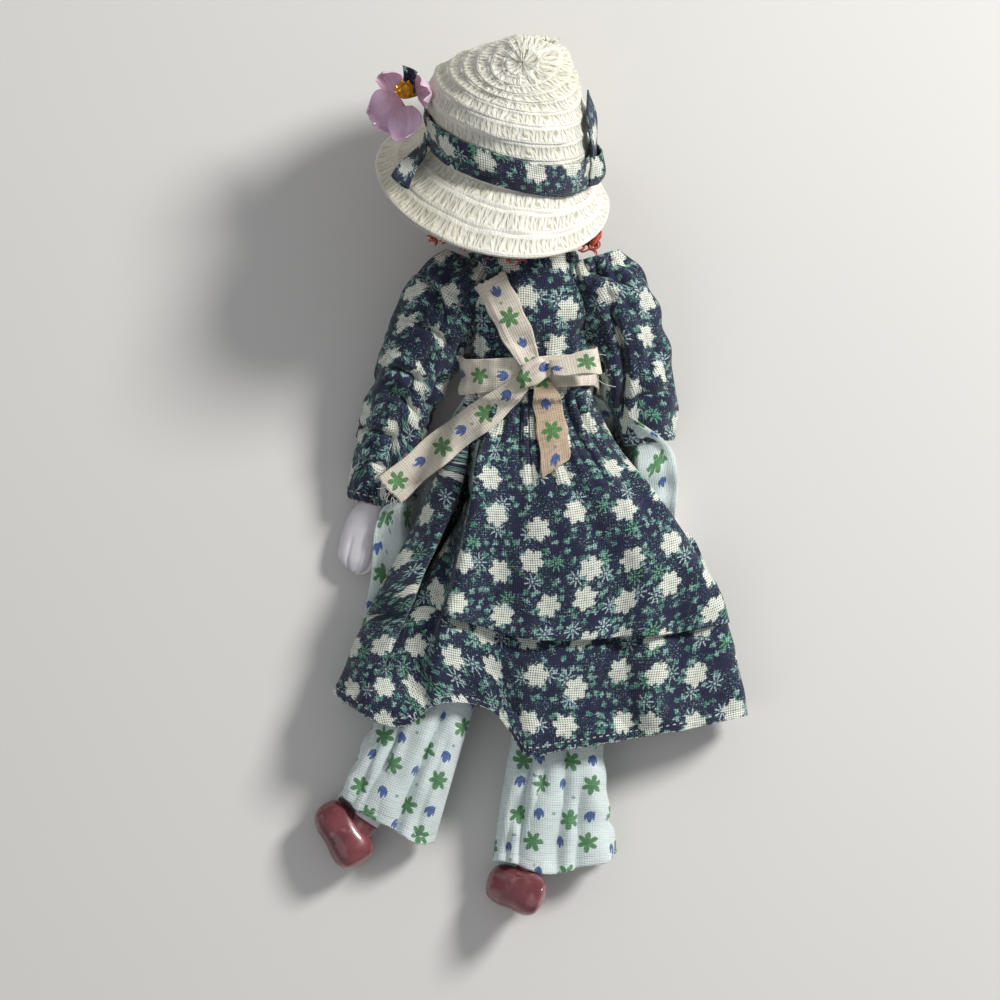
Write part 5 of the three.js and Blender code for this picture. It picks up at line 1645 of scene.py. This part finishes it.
LEG_FOLDS = {
    "left": [
        (112, 20, 62, 7, 1.3), (74, 34, 62, 6, 1.1), (140, 28, 60, 8, 0.6), (92, 8, 40, 9, 0.6),
        (50, 40, 62, 7, 0.5),
    ],
    "right": [
        (118, 30, 66, 6, 0.9), (100, 44, 66, 5, 1.0), (80, 36, 66, 6, 0.9), (62, 50, 66, 6, 0.8),
        (136, 38, 66, 8, 0.7), (90, 10, 38, 9, 0.6),
    ],
}
LEG_CREASES = {
    "left": [
        (-23, -44, -32.5, -82, 1.0, 2.6), (-17, -44, -26.4, -84, 1.0, 2.8),
        (-29.5, -50, -37, -74, 1.0, 1.4), (-19.5, -60, -22.5, -82, 0.7, 1.4),
    ],
    "right": [
        (-3, -50, -8, -90, 1.0, 2.4), (4, -54, -2, -92, 1.0, 2.6), (9.5, -50, 4.5, -92, 0.9, 2.2),
        (12.6, -62, 6.5, -69, 0.8, 1.8), (13.5, -68, 8.5, -90, 0.8, 1.8),
        (-10, -71, -3, -66, 0.8, 1.5),
    ],
}


def limb_top(leg, x, y):
    """Least height of the cloth over the thigh and the shin inside a leg, nought beside them."""
    limbs = (
        ((leg["x"], HIP_Y), leg["angle"], leg_z,
         [[-4, 4], [0, 5], [14, 3.9], [40, 3.3], [44, 2.4], [46, 2]]),
        (leg_place(leg, KNEE, 0, 0), leg["turn"], lambda along: KNEE_Z - shin_slope(leg) * along,
         [[0, 2], [1.2, 2.9], [3.6, 2.9], [7.2, 3.4], [18, 2.8], [leg["shin"] + 1, 3]]),
    )
    top = np.zeros(x.shape)
    for start, degrees, height, radii in limbs:
        along, across = down_limb(start, degrees, x, y)
        radius = through(radii, along) + 0.4 + GAP
        dome = height(along) + np.sqrt(np.maximum(radius**2 - across**2, 0))
        near = (along > radii[0][0]) & (along < radii[-1][0]) & (np.abs(across) < radius)
        top = np.maximum(top, np.where(near, dome, 0))
    return top


def pantaloon_piece(name, leg):
    end = leg["cloth"]
    s = down(LEG_START, end, 150)
    turn = tube_turns(180)
    wide, deep = leg_size(leg, s)
    degrees = degrees_round(turn)
    relief = 0.28 * ripple(61 if name == "left" else 62, turn * 8, s, 9.0) * smooth(s, 3, 20)
    relief = relief + 0.25 * np.cos(turn * 7 + s / 60) * smooth(s, 6, 40)
    for at, first, last, width, depth in LEG_FOLDS[name]:
        bend = at + 5 * np.sin((s - first) * 0.12 + at)
        off = degrees_from(degrees, bend)
        reach = smooth(s, first - 3, first + 8) * (1 - 0.25 * smooth(s, last - 3, last + 2))
        edge = 0.4 * bell(off, width * 2, width)
        relief = relief + depth * (edge - 1.3 * bell(off, 0, width)) * reach
    inner = smooth(-leg["side"] * np.cos(turn), 0.1, 0.5)
    if name == "right":
        wide = wide + 1.2 * smooth(s, end - 9, end) * bell(degrees, 20, 30)
        reach = 2.2 * bell(degrees, 92, 26) - 3 * bell(degrees, 0, 26) - 3 * bell(degrees, 360, 26)
    else:
        reach = 1.6 * bell(degrees, 50, 30) - 2.4 * bell(degrees, 165, 34)
    along = s + smooth(s, end - 12, end) * reach
    across, up = power(np.cos(turn), LEG_SQUARE), power(np.sin(turn), LEG_SQUARE)
    points = leg_place(leg, along, (wide + relief) * across, (deep + relief) * up)
    points = strokes(points, -normals(points, True), LEG_CREASES[name])
    plain = leg_place(leg, along, wide * across, deep * up)
    inward = -leg["side"] * (leg_place(leg, 20.0, 1, 0) - leg_place(leg, 20.0, 0, 0))
    beyond = np.maximum((points - plain) @ inward + 0.3, 0) * inner
    points = points - beyond[..., None] * inward
    under = smooth(-np.sin(turn), 0.1, 0.5)
    points[..., 2] = mix(points[..., 2], np.maximum(points[..., 2], plain[..., 2] + 0.25), under)
    sunk = np.maximum(limb_top(leg, points[..., 0], points[..., 1]) - points[..., 2], 0)
    points[..., 2] = points[..., 2] + sunk * smooth(np.sin(turn), 0, 0.3)
    points[..., 2] = np.maximum(points[..., 2], CLOTH_LOW)
    piece = surface(
        f"pantaloon_cloth_{name}", points, white_hemmed, None, closed=True, wall=DRESS_WALL,
        rim=end - s, flip=True,
    )
    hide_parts(f"pantaloon_leg_{name}")
    tuple(leg_place(leg, np.array(KNEE - 8.0), 0, 0) * MM)
    tuple(leg_place(leg, np.array(KNEE + 5.0), 0, 0) * MM)
    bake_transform(piece)


for name, leg in LEGS.items():
    thigh_piece(name, leg)
    shin_piece(name, leg)
    boot_piece(name, leg)
    leg_lashing_piece(name, leg)
    pantaloon_piece(name, leg)


def seat_piece():
    y = down(8, -5, 40)
    turn = tube_turns(160)
    points = ring(TORSO_X, y, spine_z(y), HIP_WIDE + SEAT_ROOM, HIP_DEEP + SEAT_ROOM, turn)
    relief = 0.25 * np.sin(turn * 19) * smooth(y, 3, 8) + 0.2 * ripple(71, turn * 10, y, 7.0)
    points = points - normals(points, True) * (relief - 0.15)[..., None]
    piece = surface(
        "pantaloon_seat_cloth", points, white, "doll_body", closed=True, wall=TRIM_WALL, flip=True,
    )
    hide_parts("pantaloon_seat")


seat_piece()

# Skirt: a flattened flared tube with a deep fold at the left, and a flounce under its tuck

SKIRT_LEFT = [[-47, -42.5], [-42, -41], [-21, -31], [-4, -22.5], [8, -17.5],
              [SASH_LOW - 1, TORSO_X - SKIRT_WAIST], [SKIRT_TOP, TORSO_X - SKIRT_WAIST]]
SKIRT_RIGHT = [[-50, 42.2], [-46.9, 41.2], [-36.7, 38.8], [-27.8, 37.1], [-21.6, 35], [-7.8, 26.5],
               [6, 15.6], [SASH_LOW - 1, TORSO_X + SKIRT_WAIST], [SKIRT_TOP, TORSO_X + SKIRT_WAIST]]
HEM = [[-1, -42.5], [-0.8, -47.5], [-0.62, -49], [-0.45, -44.5], [-0.2, -46.5], [-0.07, -54.5],
       [0.1, -53.8], [0.4, -51.8], [0.7, -49.6], [1, -47]]
TUCK = [
    [-1, -27], [-0.85, -26], [-0.65, -25.2], [-0.41, -28.4], [-0.18, -31], [0.07, -32],
    [0.4, -31.2], [0.67, -30.6], [1, -28.4],
]
HAND_DEPTH = 2.2
SKIRT_HEIGHT = 18.6
SKIRT_DEEP = 7.2
SKIRT_SQUARE = 0.72
SKIRT_FULL = 0.5


def ground_lift(x, y):
    right = smooth(x, 15.6, 19.6) * (1 - smooth(-y, 25, 31))
    left = smooth(-x, 23.5, 28) * (1 - smooth(-y, 22, 29))
    return (arm_z(SHOULDER_Y - y) + HAND_DEPTH + 2 * GAP) * np.maximum(right, left)


def fold_height(across, along):
    fade = 1 - 0.82 * smooth(along, 0.48, 0.74)
    deep = -8 * bell(across, -0.7, 0.11) * smooth(along, 0.12, 0.3) * fade
    strip = 2.2 * bell(across, -0.9, 0.09) * smooth(along, 0.16, 0.4)
    middle = 0.9 * np.cos(across * 9 - 0.6) * smooth(along, 0.15, 0.9)
    on_right = smooth(along, 0.25, 0.8) * smooth(across, 0.2, 0.5)
    right = 1.3 * np.cos((across - 0.55) * 15) * on_right
    gather = 0.35 * np.cos(across * 34) * (1 - smooth(along, 0.05, 0.4))
    return deep + strip + middle + right + gather


def skirt_heights(x, y, across, along):
    settle = smooth(along, 0.05, 0.3)
    on_seat = spine_z(y) + HIP_DEEP + SEAT_ROOM + GAP + CLOTH
    on_legs = LEG_Z + LEG_DEEP + GAP + CLOTH + 0.5 - 1.6 * smooth(-y, 12, 48)
    over = np.where((np.abs(x - TORSO_X) < SKIRT_WAIST + 0.2) & (y > -7), on_seat, on_legs)
    slope = 4 * smooth(along, 0.3, 1) + 2.4 * smooth(np.abs(across), 0.55, 1)
    fold = SKIRT_HEIGHT - slope + fold_height(across, along)
    back = np.where(across > -0.56, np.maximum(over, fold), fold)
    low = mix(spine_z(y) - SKIRT_DEEP, APRON_FREE + GAP + ground_lift(x, y), settle)
    high = mix(spine_z(y) + SKIRT_DEEP, back, settle)
    return low, high


def skirt_section(along):
    """Exponents that say how square the skirt is across and how full it is up."""
    settled = smooth(along, 0.05, 0.3)
    return mix(BODY_ROUND, SKIRT_SQUARE, settled), mix(BODY_ROUND, SKIRT_FULL, settled)


def skirt_points(along, turn, lift):
    """Points of the skirt's outer face, lifted off it by lift, and their shares across."""
    square, full = skirt_section(along)
    across = power(np.cos(turn), square)
    rise = power(np.sin(turn), full)
    y = mix(SKIRT_TOP, through(HEM, across), along)
    left, right = through(SKIRT_LEFT, y), through(SKIRT_RIGHT, y)
    x = mix(left, right, (across + 1) / 2)
    low, high = skirt_heights(x, y, across, along)
    middle = (low + high) / 2
    points = xyz(x, y, middle + (high - middle) * rise)
    before, after = np.roll(points, 1, 1), np.roll(points, -1, 1)
    out = unit(xyz(after[..., 2] - before[..., 2], 0, before[..., 0] - after[..., 0]))
    return points + out * lift[..., None], across


def tuck_along(across):
    """How far down the skirt the tuck's edge lies."""
    return (SKIRT_TOP - through(TUCK, across)) / (SKIRT_TOP - through(HEM, across))


def skirt_relief(along, turn, across):
    """Fine pleats under the sash and small uneven waves lower down."""
    on_back = smooth(np.sin(turn), -0.2, 0.3)
    pleats = np.sin(across * 31 + 1.5 * np.sin(across * 7)) + 0.6 * np.sin(across * 53 + 2)
    pleats = 0.6 * pleats * smooth(along, 0.0, 0.06) * (1 - smooth(along, 0.1, 0.42))
    waves = 0.3 * ripple(81, across * 34, along * 60, 12.0) * smooth(along, 0.1, 0.3)
    return (pleats + waves) * mix(0.5, 1, on_back)


def leg_top(x, y):
    """Height of the back of the pantaloon legs at a place, nought outside them."""
    top = np.zeros(np.broadcast(x, y).shape)
    for leg in LEGS.values():
        for swing in (-7, -3.5, 0, 3.5, 7):
            along, across = down_limb((leg["x"], HIP_Y), leg["angle"] + swing, x, y)
            across = np.abs(across)
            wide, deep = leg_size(leg, along)
            wide = wide + 0.9
            dome = np.maximum(0, 1 - np.minimum(across / wide, 1) ** 2.35) ** 0.425
            bent = 2.8 * smooth(along, 34, 41)
            height = leg_z(along) + (deep + 0.4) * dome + bent
            top = np.maximum(top, np.where((along > -4) & (across < wide), height, 0))
    return top


def deepen(points, across, along, turn):
    """The deep fold at the left: its floor sinks and the cloth rolls over it from both sides."""
    mask = smooth(along, 0.12, 0.28) * (1 - 0.7 * smooth(along, 0.8, 1))
    mask = mask * smooth(np.sin(turn), 0, 0.3)
    floor = smooth(across, -0.88, -0.8) * (1 - smooth(across, -0.58, -0.47)) * mask
    x, y, z = points[..., 0], points[..., 1], points[..., 2]
    sunk = np.maximum(z - 7 * floor, np.minimum(z, leg_top(x, y) + 0.9))
    strip = bell(across, -0.88, 0.055) * mask
    panel = bell(across, -0.48, 0.085) * mask
    return xyz(x + 2.4 * strip - 2.8 * panel, y, sunk + 1.2 * strip + 2.8 * panel)


def cleared(points, smooth_form, turn, across):
    """Keeps the cloth's front clear of the apron and its back clear of the swinging legs."""
    x, y, z = points[..., 0], points[..., 1], points[..., 2]
    back = np.maximum(z, np.minimum(smooth_form[..., 2], leg_top(x, y) + 0.3))
    over_leg = smooth(across, -0.9, -0.82) * smooth(np.sin(turn), 0.2, 0.4)
    back = back + np.maximum(leg_top(x, y) + 0.8 - back, 0) * over_leg
    front = np.maximum(z, smooth_form[..., 2] + 0.3)
    return xyz(x, y, mix(back, front, smooth(-np.sin(turn), 0.0, 0.12)))


SKIRT_CREASES = [
    (20, -7, 36, -21, 1.2, 1.4), (11, -27, 35, -21.5, 1.2, 1.7), (15, -13, 30, -18, 1.1, 0.9),
    (-9, 12, -10, -6, 1.0, 0.7), (7, 14, 14, -2, 1.0, 0.7), (-3, -20, 12, -24, 1.5, 0.5),
]
FLOUNCE_CREASES = [
    (4.4, -34, 2.4, -52, 0.7, 1.1), (28, -34, 30.5, -47, 0.9, 0.7), (-7, -34, -13, -44, 1.2, 0.9),
    (-18, -28, -25, -42, 1.3, 1.0), (12, -36, 14, -50, 1.2, 0.5), (36, -33, 39, -46, 0.9, 0.6),
]


def skirt_layer(along, turn, lift, creases):
    """Points of one layer of the skirt with its folds and creases, and the print laid on them."""
    smooth_form, across = skirt_points(along, turn, 0 * lift)
    points = deepen(skirt_points(along, turn, lift)[0], across, along, turn)
    points = strokes(points, -normals(points, True), creases)
    points = cleared(points, smooth_form, turn, across)
    return points, print_uv(points, smooth_form)


def skirt_piece():
    f = down(0, 1, 150)
    turn = tube_turns(420)
    across = power(np.cos(turn), SKIRT_SQUARE)
    along = f * tuck_along(across)
    lip = smooth(f, 0.9, 1) * (1 - smooth(np.abs(across), 0.75, 0.95))
    lift = skirt_relief(along, turn, across) + lip + 0.1
    points, uv = skirt_layer(along, turn, lift, SKIRT_CREASES)
    piece = surface(
        "skirt_cloth", points, navy, "doll_body", closed=True, wall=DRESS_WALL, rim=(1 - f) * 48,
        uv=uv, flip=True,
    )
    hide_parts("skirt")


def flounce_piece():
    f = down(0, 1, 100)
    turn = tube_turns(460)
    across = power(np.cos(turn), SKIRT_SQUARE)
    start = tuck_along(across) - 0.03
    along = start + (1 - start) * f
    relief = skirt_relief(along, turn, across) * smooth(f, 0.1, 0.4)
    tucked = -1.5 * (1 - smooth(f, 0.06, 0.34)) * (1 - 0.8 * smooth(np.abs(across), 0.75, 0.95))
    on_back = smooth(np.sin(turn), -0.1, 0.3)
    corner = 2.1 * bell(across, -0.03, 0.035) * smooth(f, 0.5, 0.8)
    corner = corner - 1.2 * bell(across, -0.11, 0.03) * smooth(f, 0.55, 0.85)
    crumple = 1.5 * np.sin(across * 95 + f * 3) * bell(across, -0.75, 0.12) * smooth(f, 0.45, 1)
    cross = 0.9 * np.sin(f * 16 + across * 30) * bell(across, -0.72, 0.12) * smooth(f, 0.5, 0.9)
    ruffle = 0.5 * ripple(83, across * 38, f * 22, 8.0) * smooth(f, 0.3, 1)
    arch = 1.4 * bell(across, -0.48, 0.16) * smooth(f, 0.5, 1)
    lift = relief + tucked + (corner + crumple + cross + ruffle + arch) * on_back
    points, uv = skirt_layer(along, turn, lift, FLOUNCE_CREASES)
    piece = surface(
        "flounce_cloth", points, navy_hemmed, "doll_body", closed=True, wall=DRESS_WALL,
        rim=(1 - f) * 22, uv=uv, flip=True,
    )
    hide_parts("skirt_flounce")


skirt_piece()
flounce_piece()

# Apron: from the sash under the belly, over the hands at both sides

APRON_TOP = SASH_LOW - GAP
APRON_LEFT = [
    [-44, -40], [-28, -35.5], [-21, -34], [-6, -31.5], [-1.6, -23.5], [8.8, -19.6],
    [APRON_TOP, TORSO_X - APRON_WAIST],
]
APRON_RIGHT = [
    [-44, 31], [-22, 29.5], [-8.4, 27], [0, 27.4], [7, 25.6], [13, 17],
    [APRON_TOP, TORSO_X + APRON_WAIST],
]


def skirt_face(x, y):
    """Heights of the skirt's under face and back at a place, far off outside it."""
    left, right = through(SKIRT_LEFT, y), through(SKIRT_RIGHT, y)
    across = (x - left) / (right - left) * 2 - 1
    inside = np.abs(across) < 1
    across = np.clip(across, -0.999, 0.999)
    along = (SKIRT_TOP - y) / (SKIRT_TOP - through(HEM, across))
    low, high = skirt_heights(x, y, across, along)
    square, full = skirt_section(along)
    rise = np.sin(np.arccos(power(across, 1 / square))) ** full
    middle = (low + high) / 2
    under = np.where(inside, middle - (high - middle) * rise, 99.0)
    over = np.where(inside, middle + (high - middle) * rise, 0.0)
    return under, over


def apron_piece():
    v = down(0, 1, 130)
    u = sideways(-1, 1, 170)
    y = mix(APRON_TOP, -44 + 1.5 * np.cos(u * 2.2), v)
    x = mix(through(APRON_LEFT, y), through(APRON_RIGHT, y), (u + 1) / 2)
    free = APRON_FREE + ground_lift(x, y) + 9 * smooth(y, 6, SASH_LOW)
    wave = (
        0.5 * ripple(91, x, y, 9.0) + 0.35 * np.sin(u * 40 + y * 0.2) * smooth(np.abs(u), 0.75, 1)
    )
    under, _ = skirt_face(x, y)
    lifted = np.maximum(free + wave * smooth(ground_lift(x, y) + v, 0.2, 1.0) * 0.8, 0.55)
    points = xyz(x, y, np.maximum(np.minimum(lifted, under - GAP - 0.35), 0.42))
    rim = np.minimum((1 - np.abs(u)) * 35, (1 - v) * 58)
    piece = surface(
        "apron_cloth", points, white_hemmed, "doll_body", wall=TRIM_WALL, rim=rim, flip=True,
    )
    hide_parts("apron")
    return piece


apron = apron_piece()

# Bow: a knot, a standing end, two hanging ends and a loop


def back_top(x, y):
    """Height of the dress's back from the bodice down over the sash and the skirt."""
    x, y = np.broadcast_arrays(np.asarray(x, float), np.asarray(y, float))

    def dome(share):
        return np.maximum(0, 1 - np.abs(share) ** (2 / BODY_ROUND)) ** (BODY_ROUND / 2)

    share = (x - neck_x(y)) / bodice_size(y, 0, CLOTH)
    upper = neck_z(y) + bodice_size(y, 1, CLOTH + 0.5) * dome(share)
    sash_top = spine_z(y) + SASH_DEEP * dome((x - TORSO_X) / SASH_WIDE)
    return np.where(y > SASH_HIGH, upper, np.where(y > SASH_LOW, sash_top, skirt_face(x, y)[1]))


LOOP_BASE = float(back_top(TORSO_X, 22))


def tie_piece(name, route, material, floor=0.0, seed=0, fold=0.0, slant=0.0, width=3.1):
    curve = rounded_curve(route, 12)
    steps = np.concatenate([[0], np.cumsum(np.linalg.norm(np.diff(curve[:, :2], axis=0), axis=1))])
    t = np.linspace(0, 1, 64)
    path = np.stack([np.interp(t * steps[-1], steps, curve[:, k]) for k in (0, 1, 2)], -1)
    ahead = unit(np.gradient(path[:, :2], axis=0))
    half = (width * through([[0, 0.55], [0.25, 0.95], [1, 1.05]], t))[:, None]
    w = sideways(-1, 1, 21)
    half = half * (1 + 0.05 * np.sin(t * 19 + seed)[:, None])
    raw = 0.22 * ripple(seed + 60, w * 9, t[:, None], 3.0) * smooth(t, 0.93, 1)[:, None]
    ragged = slant * w * smooth(t, 0.5, 1)[:, None] + raw
    x = path[:, :1] - ahead[:, 1:] * half * w + ahead[:, :1] * ragged
    y = path[:, 1:2] + ahead[:, :1] * half * w + ahead[:, 1:] * ragged
    near = np.stack([back_top(x + i, y + j) for i in (-1, 0, 1) for j in (-1, 0, 1)]).max(0)
    z = np.maximum(near, floor) + GAP + path[:, 2:] + 0.25
    for _ in range(5):
        raised = (np.roll(z, 1, 0) + z + np.roll(z, -1, 0)) / 3
        raised[0], raised[-1] = z[0], z[-1]
        z = np.maximum(z, raised)
    curl = 0.3 * w**2 * np.sin(t * 3 + seed)[:, None]
    curl = curl + 0.22 * ripple(seed, t[:, None] * 20, w * 3, 6.0)
    ridge = fold * bell(w, 0.62, 0.12)
    points = xyz(x, y, z + np.maximum(curl, -0.15) + ridge)
    uv = pair(half * w, 3.0 + t[:, None] * steps[-1])
    piece = surface(f"{name}_cloth", points, material, "doll_body", uv=uv, wall=RIBBON_WALL)
    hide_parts(name)
    return piece


def knot_piece():
    lift = down(-math.pi / 2, math.pi / 2, 40)
    turn = turns(72)[None, :]
    x = np.cos(lift) * np.cos(turn)
    y = np.cos(lift) * np.sin(turn)
    z = np.sin(lift) * np.ones_like(turn)
    groove = 0.13 * np.sin(y * 6.5 + x * 1.2 + 0.6) + 0.05 * np.sin(x * 7 - y * 3)
    size = 1 + groove * smooth(z, -0.4, 0.3)
    angle = math.radians(33)
    px, py = power(x, 0.8) * 3.7 * size, y * 2.3 * size
    middle = float(back_top(-1, 21.6)) + GAP + 1.6
    points = xyz(
        -1.2 + px * math.cos(angle) - py * math.sin(angle),
        21.4 + px * math.sin(angle) + py * math.cos(angle),
        middle + power(z, 0.8) * 1.6 * size,
    )
    uv = joined(pair(py * 1.1, 5.6 + px))
    piece = surface("knot_cloth", points, ribbon, "doll_body", closed=True, uv=uv)
    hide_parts("tie_knot")
    return piece


def loop_piece():
    t = down(0, 1, 90)
    turn = mix(math.radians(35), math.radians(325), t)
    w = sideways(-1, 1, 15)
    reach = 5.05 * (1 - np.cos(turn))
    rise = 1.9 * np.sin(turn) * (1 + 0.15 * np.sin(turn * 3))
    points = xyz(
        1.4 + reach - w * 0.5 + 0 * t,
        22 + reach * 0.16 + w * (1.4 + reach * 0.12) + 0.15 * np.sin(turn * 4),
        LOOP_BASE + 2.4 + rise + 0.12 * w**2,
    )
    piece = surface("loop_cloth", points, ribbon, "doll_body", wall=RIBBON_WALL,
                    uv=pair(3.0 * w, t * 22 + 6.6))
    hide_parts("tie_loop")
    return piece


def frayed(name, starts, seed):
    """Loose threads that stick out of a raw edge."""
    rng = np.random.default_rng(seed)
    paths = []
    t = down(0, 1, 12)
    for place, ahead, length in starts:
        side = np.array([-ahead[1], ahead[0], 0.0])
        curl = rng.uniform(-1.1, 1.1)
        paths.append(np.array(place) + np.array(ahead) * length * t + side * curl * length * t**2
                     + np.array([0, 0, -0.15]) * length * t**2)
    piece = tubes(name, paths, 0.07, white_thread, "doll_body")


ties = [
    tie_piece(
        "tie_up", [(-1.8, 22.8, 0.4), (-4.2, 28, 0.2), (-7, 34, 0.2), (-10, 39.8, 0.6)], ribbon,
        seed=1, fold=0.25,
    ),
    tie_piece(
        "tie_lower_left", [(-3, 19.8, 0.2), (-8.5, 15, 0), (-19, 7.2, 0.3), (-30.1, -2.2, 0.8)],
        ribbon, 8.8, seed=2, fold=0.35,
    ),
    tie_piece(
        "tie_hanging", [(0.2, 19.8, 0.6), (1.4, 15, 0.6), (2.4, 9, 0.6), (3.2, 2.3, 0.6)],
        tan_ribbon, seed=3, slant=-1.7, width=2.9,
    ),
]
bow_knot = knot_piece()
bow_loop = loop_piece()
frayed(
    "frayed_tie_ends",
    [
        ((-30.6, -1.2, 10.4), (-0.6, -0.8, 0), 1.6), ((-30.0, -2.4, 10.4), (-0.75, -0.65, 0), 1.2),
        ((-29.5, -3.4, 10.3), (-0.3, -0.95, 0), 2.2), ((-29.3, -3.7, 10.3), (0.5, -0.86, 0), 5.6),
        ((-29.4, -3.5, 10.2), (0.8, -0.6, 0), 4.2), ((-29.9, -2.8, 10.3), (-0.9, -0.4, 0), 1.4),
        ((10.9, 24.6, LOOP_BASE + 2.4), (0.7, 0.7, 0), 1.6),
        ((11.2, 22.2, LOOP_BASE + 2.2), (0.6, -0.8, 0), 2.6),
        ((11.2, 20.4, LOOP_BASE + 1.6), (0.3, -0.95, 0), 3.0),
    ],
    11,
)
